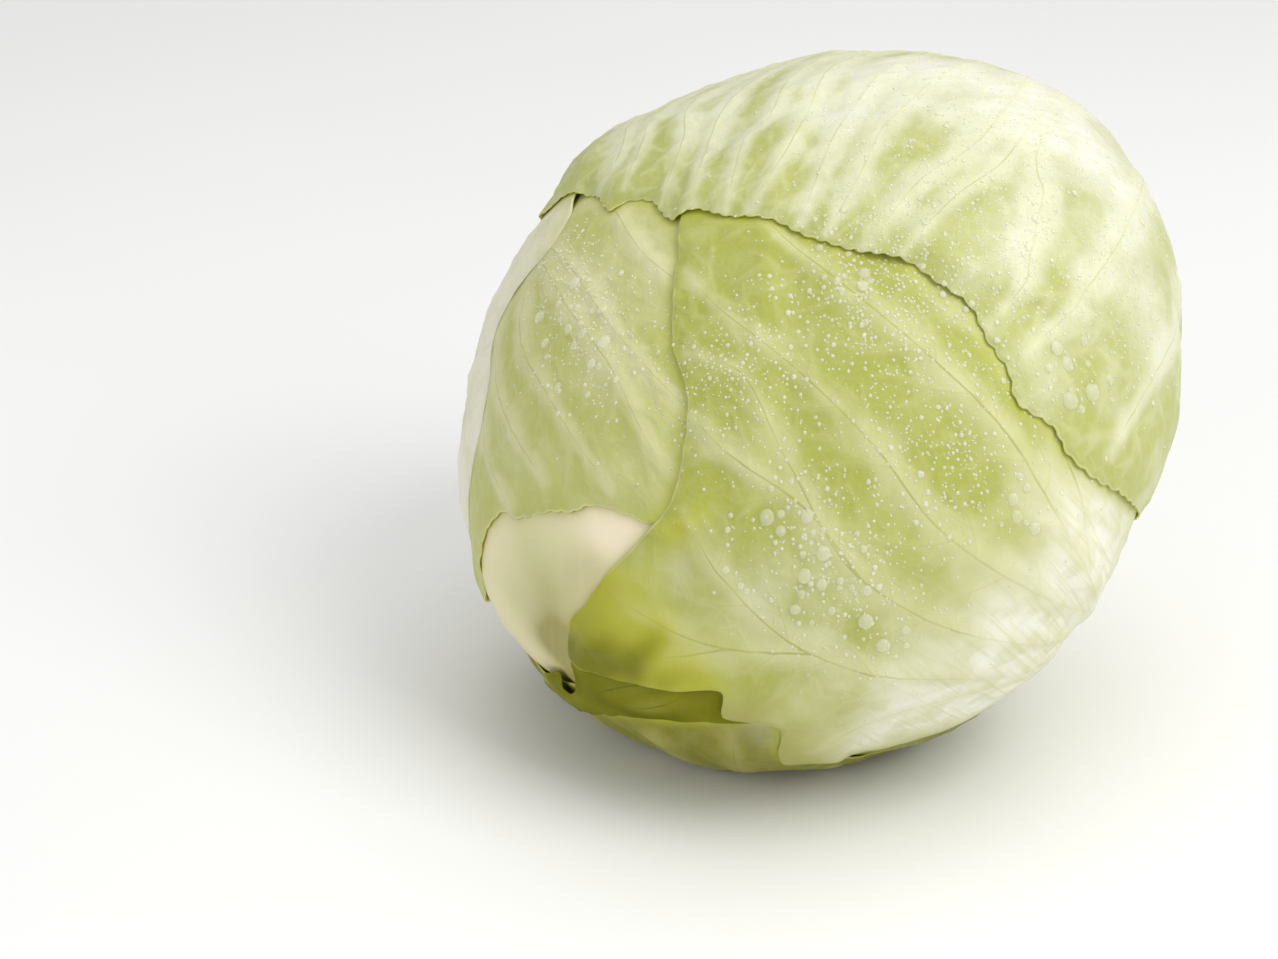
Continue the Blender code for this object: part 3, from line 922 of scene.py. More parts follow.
@dataclass(frozen=True)
class CreamFinish:
    """Dense pale head: cream leaf with fine veins, tan that is partly its own colour and partly painted shade
    beside the wrapping leaves, and painted shade along their margins.
    """

    cream: Colour = (0.80, 0.72, 0.455)
    blush: Colour = (0.90, 0.80, 0.58)
    tan_and_painted_shade: Colour = (0.33, 0.30, 0.085)
    green: Colour = (0.60, 0.61, 0.30)
    vein: Colour = (0.86, 0.82, 0.66)
    shade: Colour = (0.44, 0.40, 0.09)

    def material(self, name: str) -> bpy.types.Material:
        """Build the inner head's material.

        Args:
            name: what the material is called.

        Returns:
            The material, which reads Object coordinates and the piece's own attributes.
        """
        made = Shades(name)
        where = made.place()
        cloud = made.ramp(made.noise(where, 32.0, 3.0, 0.55, 0.4), 0.36, 0.66)
        veins = made.noise(made.spread(where, 240.0, 40.0, 0.7), 1.0, 2.0, 0.5, 0.4)
        body = made.layered(
            self.cream,
            (self.green, cloud, 0.18),
            (self.blush, made.weight(Gap.WHITE)),
            (self.green, made.weight(Gap.GREEN)),
            (self.tan_and_painted_shade, made.weight(Gap.OLIVE)),
            (self.vein, made.ramp(veins, 0.50, 0.72, 0.0, 0.08)),
            (self.shade, made.weight(Gap.SHADE), 0.5),
        )
        return made.dressed(
            Base_Color=body,
            Roughness=made.ramp(cloud, 0.0, 1.0, 0.38, 0.50),
            Normal=made.bump(made.noise(where, 420.0, 3.0), 0.4, 0.0003),
            Subsurface_Weight=0.18,
            Subsurface_Radius=(1.0, 0.85, 0.45),
            Subsurface_Scale=0.003,
            IOR=1.42,
        )


@dataclass(frozen=True)
class CutFinish:
    """Cut stem: cream flesh with a greener rind and browned fibres."""

    flesh: Colour = (0.74, 0.70, 0.50)
    rind: Colour = (0.46, 0.50, 0.22)
    brown: Colour = (0.36, 0.25, 0.12)
    pith: Colour = (0.80, 0.78, 0.64)

    def material(self, name: str) -> bpy.types.Material:
        """Build the stem's material.

        Args:
            name: what the material is called.

        Returns:
            The material, which reads the stem's own map: rings across, height along.
        """
        made = Shades(name)
        where = made.place()
        reach = made.fed("ShaderNodeSeparateXYZ", "X", Vector=made.flat("rings"))
        skin = made.ramp(made.noise(where, 420.0, 3.0), 0.35, 0.65)
        specks = made.ramp(made.noise(where, 900.0, 3.0, 0.7), 0.50, 0.72)
        body = made.layered(
            self.flesh,
            (self.rind, made.ramp(reach, 0.72, 0.92)),
            (self.brown, made.ramp(reach, 0.80, 0.99), skin, 0.7),
            (self.brown, specks, 0.35),
            (self.pith, made.ramp(reach, 0.10, 0.45, 0.35, 0.0)),
        )
        return made.dressed(
            Base_Color=body,
            Roughness=0.62,
            Normal=made.bump(made.noise(where, 700.0, 4.0, 0.6), 0.6, 0.0005),
            Subsurface_Weight=0.12,
            Subsurface_Scale=0.002,
        )


@dataclass(frozen=True)
class WaterFinish:
    """Dew: clear water given a pale cream body, which stands in for the light that the drops catch as painted
    highlight.
    """

    cover: float = 0.56
    pale: Colour = (0.84, 0.85, 0.62)
    bright: Colour = (0.92, 0.92, 0.76)

    def material(self, name: str) -> bpy.types.Material:
        """Build the water.

        Args:
            name: what the material is called.

        Returns:
            The material: glossy, pale cream as painted highlight, and partly see-through.
        """
        made = Shades(name)
        tone = made.ramp(made.noise(made.place(), 60.0, 2.0), 0.3, 0.7)
        return made.dressed(
            # painted highlight: the pale cream body
            Base_Color=made.mix(tone, self.pale, self.bright),
            Roughness=0.16,
            IOR=1.36,
            Specular_IOR_Level=0.6,
            Transmission_Weight=0.08,
            Alpha=self.cover,
        )


@dataclass(frozen=True)
class PaperFinish:
    """Matt white paper."""

    dull: Colour = (0.86, 0.86, 0.85)
    light: Colour = (0.88, 0.88, 0.87)

    def material(self, name: str) -> bpy.types.Material:
        """Build the paper.

        Args:
            name: what the material is called.

        Returns:
            The material, faintly clouded.
        """
        made = Shades(name)
        tone = made.ramp(made.noise(made.place(), 3.0, 2.0), 0.3, 0.7)
        return made.dressed(Base_Color=made.mix(tone, self.dull, self.light), Roughness=0.7)


def deselected() -> None:
    """Let go of everything."""
    if bpy.context.object and bpy.context.object.mode != "OBJECT":
        bpy.ops.object.mode_set(mode="OBJECT")
    bpy.ops.object.select_all(action="DESELECT")


def taken(piece: Piece) -> None:
    """Select one piece alone and make it active.

    Args:
        piece: the piece.
    """
    deselected()
    piece.select_set(True)
    bpy.context.view_layer.objects.active = piece


def named(name: str) -> Piece:
    """The piece that was just added, under a name.

    Args:
        name: its new name.

    Returns:
        The piece.
    """
    piece = bpy.context.object
    piece.name = piece.data.name = name
    return piece


def added(name: str, points: Sequence[Sequence[float]], faces: Sequence[Sequence[int]]) -> Piece:
    """Put a piece in the scene that is made of points and faces.

    Args:
        name: what it is called.
        points: its points, in metres.
        faces: its faces' corners.

    Returns:
        The new piece.
    """
    mesh = bpy.data.meshes.new(name)
    mesh.from_pydata(points, [], faces)
    mesh.validate()
    piece = bpy.data.objects.new(name, mesh)
    bpy.context.scene.collection.objects.link(piece)
    return piece


def picked(piece: Piece, chosen: Callable[[bpy.types.MeshPolygon], bool]) -> None:
    """Mark the chosen faces of the active piece and no others, and go on in edit mode.

    Args:
        piece: the active piece.
        chosen: says which faces.
    """
    bpy.ops.object.mode_set(mode="OBJECT")
    for face in piece.data.polygons:
        face.select = chosen(face)
    bpy.ops.object.mode_set(mode="EDIT")


def outwards(piece: Piece) -> None:
    """Turn a piece's faces outwards, and leave it in edit mode with all of it selected.

    Args:
        piece: the piece.
    """
    taken(piece)
    bpy.ops.object.mode_set(mode="EDIT")
    bpy.ops.mesh.select_all(action="SELECT")
    bpy.ops.mesh.normals_make_consistent(inside=False)


def coordinates(mesh: bpy.types.Mesh) -> Array:
    """A mesh's vertices, one a row.

    Args:
        mesh: the mesh.

    Returns:
        The places, in the mesh's own units.
    """
    found = np.empty(len(mesh.vertices) * 3, np.float32)
    mesh.vertices.foreach_get("co", found)
    return found.reshape(-1, 3).astype(float)


def moved(mesh: bpy.types.Mesh, points: Array) -> None:
    """Put a mesh's vertices at new places."""
    mesh.vertices.foreach_set("co", np.asarray(points, np.float32).ravel())
    mesh.update()


def weighed(mesh: bpy.types.Mesh, gap: Gap, values: Array) -> None:
    """Store one number for each vertex."""
    layer = mesh.attributes.new(gap.value, "FLOAT", "POINT")
    layer.data.foreach_set("value", np.asarray(values, np.float32))


def mapped(mesh: bpy.types.Mesh, name: str, values: Array) -> None:
    """Store a flat map from one place for each vertex.

    Args:
        mesh: the mesh.
        name: the map's name.
        values: a place for each vertex.
    """
    layer = mesh.uv_layers.new(name=name)
    corners = np.empty(len(mesh.loops), np.int32)
    mesh.loops.foreach_get("vertex_index", corners)
    layer.data.foreach_set("uv", np.asarray(values, np.float32)[corners].ravel())


def finished(piece: Piece, node: str | None) -> Piece:
    """Shade a piece smooth and give it its place in the model.

    Args:
        piece: the finished object.
        node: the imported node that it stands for, if any.

    Returns:
        The same object.
    """
    taken(piece)
    bpy.ops.object.shade_smooth()
    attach(piece, "root")
    if node is not None:
        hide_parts(node)
    deselected()
    return piece


def reported(piece: Piece) -> Piece:
    """Report a finished piece."""
    LOG.info("%s: %d faces", piece.name, len(piece.data.polygons))
    return piece


@dataclass
class Leaf:
    """One wrapped leaf: its sheet, its relief, its thickness and its finish.

    Sizes are in millimetres. A tint's patches are soft ovals on the flat pattern: the place, the two
    half widths and the amount. The margin keeps still at the calm places, each given with a width.
    """

    wrapping: Wrapping
    level: int
    finish: LeafFinish
    cell: float
    tints: Mapping[Tint, Sequence[Patch]] = field(default_factory=dict)
    calm: Sequence[tuple[float, float, float]] = ()
    teeth: float = 0.5
    tooth: float = 2.0
    quilt: float = 0.30
    ridge: float = 0.65
    lift: float = 0.30
    frill: float = 2.2
    droop: float = 0.85
    droop_width: float = 4.5
    hem: float = 6.0
    rib: float = 0.8
    rib_swell: float = 2.0
    rib_fade: float = 60.0
    rib_width: float = 5.0
    ridge_width: float = 2.9
    vein: float = 0.22
    vein_width: float = 1.1
    fold: float = 1.7
    fold_width: float = 4.2
    thin: float = 0.45
    thin_width: float = 4.0
    branch_step: float = 11.0
    branch_reach: float = 17.0
    branch_gap: float = 1.7
    stride: float = 1.9
    far: float = 60.0

    def __post_init__(self) -> None:
        """Take up the leaf's pattern and draw the curves that the sheet is cut along."""
        self.pattern = self.wrapping.patterns[self.level]
        self.seed = self.level + 1
        self.margin = self.scalloped()
        self.ribs = self.drawn_ribs()
        self.branches = self.drawn_branches()

    def scalloped(self) -> Array:
        """The outline as a smooth curve, finely scalloped away from the leaf's base.

        Returns:
            The closed curve.
        """
        curve = curve_through(self.pattern.margin, min(1.5, 0.75 * self.tooth), closed=True)
        tangent = unit(np.roll(curve, -1, axis=0) - np.roll(curve, 1, axis=0))
        side = np.stack([tangent[:, 1], -tangent[:, 0]], axis=1)
        x, y = curve[:, 0], curve[:, 1]
        if np.sum(x * np.roll(y, -1) - np.roll(x, -1) * y) < 0:
            side = -side
        along = distances(curve)
        tooth = np.abs(np.sin(along / self.tooth + 0.8 * np.sin(along / 9.0))) - 0.6
        bay = 0.5 * np.sin(along / 3.9 + self.seed) + 0.5 * np.sin(along / 7.3)
        return curve + side * (self.teeth * (tooth + 0.6 * bay) * self.lively(curve))[:, None]

    def lively(self, p: Array) -> Array:
        """How freely the margin may wave: not at all at the base or in the calm places.

        Args:
            p: flat places on the leaf.

        Returns:
            A share from 0 to 1.
        """
        free = smooth(np.linalg.norm(p - self.pattern.base, axis=1) / 45.0)
        for x, y, wide in self.calm:
            free = free * (1.0 - bell((p[:, 0] - x) ** 2 + (p[:, 1] - y) ** 2, wide**2))
        return free

    def drawn_ribs(self) -> list[Array]:
        """The midrib and the main veins, each starting on the rib that it leaves.

        Returns:
            Their curves, the midrib first.
        """
        ribs = [curve_through(self.pattern.midrib, 2.0)]
        for vein in self.pattern.veins:
            curve = curve_through(vein, 2.0)
            gap, i = min((np.linalg.norm(rib - curve[0], axis=1).min(), i) for i, rib in enumerate(ribs))
            if gap < 8.0:
                curve[0] = ribs[i][np.linalg.norm(ribs[i] - curve[0], axis=1).argmin()]
            ribs.append(curve)
        return [self.trimmed(rib, 1.2) for rib in ribs]

    def trimmed(self, line: Array, clear: float) -> Array:
        """The part of a line that lies on the leaf, clear of the margin."""
        edge, _ = line_gap(line, self.margin, closed=True)
        return line[(edge > clear) & inside(line, self.margin)]

    def drawn_branches(self) -> list[Array]:
        """Draw the finer veins, which leave the main ones, and then each other, by turns on either side.

        Returns:
            The curves of the finer veins.
        """
        chance = np.random.default_rng(self.seed)
        drawn = [rib for rib in self.ribs if len(rib) > 3]
        out: list[Array] = []
        for parents, shorter, closer in ((drawn, 1.0, 1.0), (out, 0.5, 0.62)):
            reach, step = self.branch_reach * shorter, self.branch_step * closer
            for parent in list(parents):
                length = distances(parent)
                side = 1.0
                at = step * (0.5 + 0.5 * chance.random())
                while at < length[-1] - 1.5:
                    i = int(np.searchsorted(length, at))
                    way = unit(parent[min(i + 1, len(parent) - 1)] - parent[i - 1])
                    grown = reach * (0.6 + 0.7 * chance.random())
                    branch = self.branch(parent[i], way, side, grown, chance, drawn)
                    if len(branch) > 2:
                        drawn.append(branch)
                        out.append(branch)
                    side = -side
                    at += step * (0.55 + 0.5 * chance.random())
        return out

    def branch(
        self,
        start: Array,
        way: Array,
        side: float,
        reach: float,
        chance: np.random.Generator,
        drawn: Sequence[Array],
    ) -> Array:
        """Grow one fine vein.

        Args:
            start: where it leaves its parent.
            way: the parent's direction there.
            side: 1 or -1.
            reach: how long it may grow.
            chance: the seeded source of variety.
            drawn: the veins that it stops at.

        Returns:
            Its points, from the parent outwards.
        """
        turn = side * (0.75 + 0.35 * chance.random())
        bend = -side * (0.030 + 0.035 * chance.random())
        others = np.concatenate(drawn)
        line = [start]
        at, gone = start.copy(), 0.0
        while gone < reach:
            c, s = math.cos(turn), math.sin(turn)
            at = at + self.stride * np.array([c * way[0] - s * way[1], s * way[0] + c * way[1]])
            gone += self.stride
            turn += bend * self.stride + 0.10 * (chance.random() - 0.5)
            if gone > 3.0 and np.min(np.linalg.norm(others - at, axis=1)) < self.branch_gap:
                break
            line.append(at.copy())
        return self.trimmed(np.array(line), 1.6)

    def filling(self, drawn: Array) -> Array:
        """Fill the blade with points in staggered rows, clear of the drawn ones.

        Args:
            drawn: the points of the margin and the veins.

        Returns:
            The new points.
        """
        low, high = drawn.min(axis=0), drawn.max(axis=0)
        row = self.cell * math.sqrt(0.75)
        columns, rows = int((high[0] - low[0]) / self.cell) + 1, int((high[1] - low[1]) / row) + 1
        i, j = np.meshgrid(np.arange(columns), np.arange(rows))
        grid = np.stack([low[0] + self.cell * (i + 0.5 * (j % 2)), low[1] + row * j], axis=-1).reshape(-1, 2)
        grid = grid[inside(grid, self.margin)]
        parts = np.array_split(grid, 1 + len(grid) // 500)
        near = [np.linalg.norm(part[:, None] - drawn[None], axis=2).min(axis=1) for part in parts]
        return grid[np.concatenate(near) > 0.55 * self.cell]

    def sheet(self) -> Piece:
        """Cut the flat sheet along its margin and veins, and divide it.

        Returns:
            The flat sheet, in millimetres.
        """
        points = [tuple(p) for p in self.margin]
        edges = [(i, (i + 1) % len(points)) for i in range(len(points))]
        for line in [*self.ribs, *self.branches]:
            edges += [(len(points) + i, len(points) + i + 1) for i in range(len(line) - 1)]
            points += [tuple(p) for p in line]
        points += [tuple(p) for p in self.filling(np.array(points))]
        found, _, faces, _, _, _ = delaunay_2d_cdt([Vector(p) for p in points], edges, [], 1, 0.25)
        corners = [(p[0], p[1], 0.0) for p in found]
        piece = added(f"{self.pattern.name}_blade", corners, [tuple(f) for f in faces])
        outwards(piece)
        bpy.ops.mesh.subdivide(number_cuts=1)
        bpy.ops.object.mode_set(mode="OBJECT")
        if piece.data.polygons[0].normal.z < 0:
            piece.data.flip_normals()
        return piece

    def measured(self, p: Array) -> dict[Gap, Array]:
        """Measure flat places from the veins and the margin.

        Args:
            p: flat places on the leaf.

        Returns:
            The distance from the main veins' pale bands, from their lines, from the finer veins and
            from the margin. A vein's distance is divided by its breadth, which narrows to its tip.
        """
        rib, dark, branch = (np.full(len(p), self.far) for _ in range(3))
        for number, line in enumerate(self.ribs):
            if len(line) < 2:
                continue
            gap, along = line_gap(p, line)
            share = along / lengths(line).sum()
            breadth = 1.35 - 0.6 * share if number == 0 else 1.15 - 0.5 * share
            rib = np.minimum(rib, gap / breadth + 1.5 * smooth((share - 0.72) / 0.28))
            dark = np.minimum(dark, gap / breadth + 0.5 * smooth((share - 0.90) / 0.10))
        for line in self.branches:
            near = np.linalg.norm(p - line.mean(axis=0), axis=1) < 2.0 * self.branch_reach
            gap, along = line_gap(p[near], line)
            share = along / max(lengths(line).sum(), 1.0)
            gap = gap / (1.1 - 0.5 * share) + 0.8 * smooth(2.0 * share - 1.0)
            branch[near] = np.minimum(branch[near], gap)
        edge, _ = line_gap(p, self.margin, closed=True)
        edge = edge + 8.0 * (1.0 - self.lively(p))
        return {Gap.RIB: rib, Gap.LINE: dark, Gap.BRANCH: branch, Gap.EDGE: edge}

    def relief(self, p: Array, gaps: dict[Gap, Array]) -> Array:
        """Raise the ribs, the folds, the cells between the veins and the waved margin.

        Args:
            p: flat places on the leaf.
            gaps: what was measured there.

        Returns:
            The height above the plain blade.
        """
        from_base = np.linalg.norm(p - self.pattern.base, axis=1)
        gap, _ = line_gap(p, self.ribs[0])
        height = (self.rib + self.rib_swell * np.exp(-from_base / self.rib_fade)) * bell(gap, self.rib_width)
        for line in self.ribs[1:]:
            gap, along = line_gap(p, line)
            height = np.maximum(height, self.ridge * (1.0 - 0.004 * along) * bell(gap, self.ridge_width))
        height = height + self.vein * bell(gaps[Gap.BRANCH], self.vein_width)
        cells = grain(p, 11.0, 3.1 * self.seed) + 0.6 * grain(p, 5.5, 7.7 * self.seed)
        height = height + self.quilt * smooth(gaps[Gap.RIB] / 9.0) * cells
        for fold in self.pattern.folds:
            gap, _ = line_gap(p, curve_through(fold, 3.0))
            height = height + self.fold * bell(gap, self.fold_width)
        edge, along = line_gap(p, self.margin, closed=True)
        lively = self.lively(p)
        waves = 1.0 + 0.6 * np.sin(along / 4.1) + 0.4 * np.sin(along / 6.7 + 1.0)
        height = height + 0.4 * self.pattern.wave * waves * bell(edge, self.hem) * lively
        ripple = 0.5 + 0.5 * np.sin(along / 1.55 + 1.3 * np.sin(along / 6.0))
        height = height + self.lift * ripple * np.exp(-edge / self.frill) * lively
        return height - self.droop * bell(edge, self.droop_width) * smooth(from_base / 40.0)

    def tinted(self, p: Array, tint: Tint) -> Array:
        """Add up the soft patches of one tint.

        Args:
            p: flat places on the leaf.
            tint: which patches.

        Returns:
            A weight from 0 to 1.
        """
        strayed = p + 5.0 * np.stack([grain(p, 16.0, 5.0 + self.seed), grain(p, 16.0, 9.0 + self.seed)], axis=1)
        total = np.zeros(len(p))
        for x, y, wide, tall, amount in self.tints.get(tint, ()):
            across, along = (strayed[:, 0] - x) / wide, (strayed[:, 1] - y) / tall
            total = total + amount * np.exp(-(across**2) - along**2)
        return np.clip(total, 0.0, 1.0)

    def thickened(self, piece: Piece, share: Array) -> None:
        """Give the sheet its blade's thickness inwards, times a share at each vertex.

        Args:
            piece: the wrapped sheet.
            share: the share at each vertex.
        """
        grades = 20
        thickness = piece.vertex_groups.new(name="thickness")
        steps = np.round(share * grades).astype(int)
        for step in np.unique(steps):
            thickness.add(np.flatnonzero(steps == step).tolist(), float(step) / grades, "REPLACE")
        taken(piece)
        solid = piece.modifiers.new("thickness", "SOLIDIFY")
        solid.thickness = self.wrapping.blade / 1000.0
        solid.offset = -1.0
        solid.vertex_group = "thickness"
        bpy.ops.object.modifier_apply(modifier="thickness")

    def build(self) -> Piece:
        """Make the leaf.

        Returns:
            The finished leaf in its place.
        """
        piece = self.sheet()
        mesh = piece.data
        p = coordinates(mesh)[:, :2]
        d = self.pattern.wrapped(p)
        gaps = self.measured(p)
        seat = self.wrapping.seat(d, self.level)
        edge, _ = line_gap(p, self.margin, closed=True)
        raised = self.relief(p, gaps) - 0.9 * seat.slack * bell(edge, self.hem)
        form, clearance = self.wrapping.form, self.wrapping.clearance(seat.above)
        radius = form.floored(seat.radius + raised * seat.free, d, clearance)
        moved(mesh, form.placed(d * (radius + self.wrapping.blade)[:, None]))
        for gap, values in gaps.items():
            weighed(mesh, gap, values)
        for tint in Tint:
            weighed(mesh, Gap(tint.value), self.tinted(p, tint))
        # painted shadow: strongest just under the margin of the nearest leaf above
        weighed(mesh, Gap.SHADE, bell(np.maximum(seat.nearest, 0.0), 2.4) * (seat.nearest < 40.0))
        mapped(mesh, "flat", p / 100.0)
        self.thickened(piece, self.thin + (1.0 - self.thin) * smooth(edge / self.thin_width))
        mesh.materials.append(self.finish.material(f"{self.pattern.name}_wax"))
        return finished(piece, self.pattern.name)


@dataclass
class InnerHead:
    """The dense pale head inside the wrapping leaves.

    Its patches have a direction, a width in degrees and an amount. Gaps are in millimetres.
    """

    wrapping: Wrapping
    finish: CreamFinish = field(default_factory=CreamFinish)
    gap: float = 0.10
    sunk: float = 0.65
    covered: float = 0.7
    raised: float = 4.5
    patches: Sequence[tuple[Tint, float, float, float, float, float]] = (
        (Tint.WHITE, -0.557, -0.830, 0.023, 9.0, 0.9),
        (Tint.WHITE, -0.637, -0.771, -0.033, 7.0, 0.7),
        (Tint.GREEN, -0.780, -0.595, -0.195, 9.0, 0.75),
        (Tint.GREEN, -0.810, -0.434, -0.395, 8.0, 0.35),
        # the olive patches weigh the tan: painted shade beside the front and curled leaves, partly the head's
        # own tan
        (Tint.OLIVE, -0.719, -0.635, -0.281, 7.0, 0.40),
        (Tint.OLIVE, -0.781, -0.533, -0.326, 6.0, 0.30),
        (Tint.OLIVE, -0.660, -0.617, -0.430, 5.0, 1.00),
        (Tint.OLIVE, -0.655, -0.598, -0.462, 6.0, 1.00),
        (Tint.OLIVE, -0.705, -0.558, -0.440, 5.0, 0.38),
        (Tint.OLIVE, -0.634, -0.746, -0.204, 5.0, 0.25),
    )

    def patched(self, d: Array, tint: Tint) -> Array:
        """Add up the soft patches of one tint.

        Args:
            d: unit directions.
            tint: which patches.

        Returns:
            A weight from 0 to 1.
        """
        total = np.zeros(len(d))
        for kind, x, y, z, wide, amount in self.patches:
            if kind is tint:
                total = total + amount * bell(degrees_from(d, (x, y, z)), wide)
        return np.clip(total, 0.0, 1.0)

    def radius(self, d: Array, depths: Sequence[Array]) -> Array:
        """Its distance from the centre, just inside the innermost leaf.

        Args:
            d: unit directions.
            depths: how deep each lies under each leaf.

        Returns:
            The distances, in millimetres.
        """
        seat = self.wrapping.seat(d, 0)
        cover = np.clip(seat.above + self.wrapping.cover(depths[0]), 0.0, 1.0)
        buried = smooth(np.max(np.stack(depths), axis=0) / 7.0)
        inner = seat.radius - self.gap - (self.sunk + self.covered * cover) * buried
        return self.wrapping.form.floored(inner, d, self.raised)

    def build(self) -> Piece:
        """Make the inner head.

        Returns:
            The finished piece in its place.
        """
        deselected()
        bpy.ops.mesh.primitive_ico_sphere_add(subdivisions=7, radius=0.08)
        piece = named("inner_head_core")
        mesh = piece.data
        d = unit(coordinates(mesh))
        depths = self.wrapping.depths(d)
        deepest = np.max(np.stack(depths), axis=0)
        points = d * self.radius(d, depths)[:, None]
        lumps = 0.5 * grain(points, 14.0, 2.0) + 0.25 * grain(points, 6.0, 4.0)
        height = smooth((-deepest - 1.0) / 7.0) * lumps
        moved(mesh, self.wrapping.form.placed(points + d * height[:, None]))
        # painted shade along the margins of the leaves that wrap the head
        weighed(mesh, Gap.SHADE, np.exp(-np.maximum(-deepest, 0.0) / 1.8))
        strayed = unit(d + 0.05 * np.stack([grain(points, 12.0, seed) for seed in (6.0, 11.0, 13.0)], axis=1))
        for tint in (Tint.WHITE, Tint.GREEN, Tint.OLIVE):
            weighed(mesh, Gap(tint.value), self.patched(strayed, tint))
        mesh.materials.clear()
        mesh.materials.append(self.finish.material("inner_head_cream"))
        return finished(piece, "inner_head")


@dataclass
class Stump:
    """The cut stem under the head."""

    wrapping: Wrapping
    radius: float = 13.5
    top: float = 68.5
    depth: float = 12.0
    chamfer: float = 0.9
    rings: Sequence[float] = (1.6, 2.0, 2.2, 2.2, 2.0, 1.4)
    sink: float = 0.25
    finish: CutFinish = field(default_factory=CutFinish)

    def turned(self) -> Piece:
        """Model the plain stem: a cylinder with a chamfered cut, ringed, and a divided side.

        Returns:
            The stem standing upright, in millimetres.
        """
        deselected()
        bpy.ops.mesh.primitive_cylinder_add(
            vertices=72, radius=self.radius, depth=self.depth, end_fill_type="NGON"
        )
        piece = named("stem_cut")
        bpy.ops.object.mode_set(mode="EDIT")
        bpy.ops.mesh.select_all(action="DESELECT")
        picked(piece, lambda face: face.normal.z > 0.9)
        bpy.ops.mesh.select_mode(type="FACE")
        bpy.ops.mesh.bevel(offset=self.chamfer, segments=3)
        for inset in self.rings:
            bpy.ops.mesh.inset(thickness=inset, depth=0.0)
        bpy.ops.mesh.poke()
        picked(piece, lambda face: abs(face.normal.z) < 0.5)
        bpy.ops.mesh.subdivide(number_cuts=2)
        bpy.ops.object.mode_set(mode="OBJECT")
        return piece

    def build(self) -> Piece:
        """Make the stem.

        Returns:
            The finished piece in its place.
        """
        piece = self.turned()
        mesh = piece.data
        q = coordinates(mesh)
        across, turn = np.hypot(q[:, 0], q[:, 1]), np.arctan2(q[:, 1], q[:, 0])
        mapped(mesh, "rings", np.stack([across / self.radius, q[:, 2] / self.depth], axis=1))
        wobble = 1.0 + 0.03 * np.sin(3.0 * turn) + 0.02 * np.sin(5.0 * turn + 1.0) + 0.006 * np.sin(23.0 * turn)
        cut = q[:, 2] > self.depth / 2.0 - 0.4
        q[:, 2] += cut * (0.25 * grain(q, 4.0, 1.0) + 0.12 * grain(q, 1.3, 2.0) - 0.35 * bell(across, 5.0))
        form = self.wrapping.form
        side, front = form.across()
        q[:, :2] *= wobble[:, None]
        q[:, 2] += self.top - self.sink - self.depth / 2.0
        moved(mesh, form.placed(q[:, :1] * side + q[:, 1:2] * front + q[:, 2:] * form.axis))
        outwards(piece)
        bpy.ops.object.mode_set(mode="OBJECT")
        mesh.materials.clear()
        mesh.materials.append(self.finish.material("stem_cut_flesh"))
        return finished(piece, "stem")


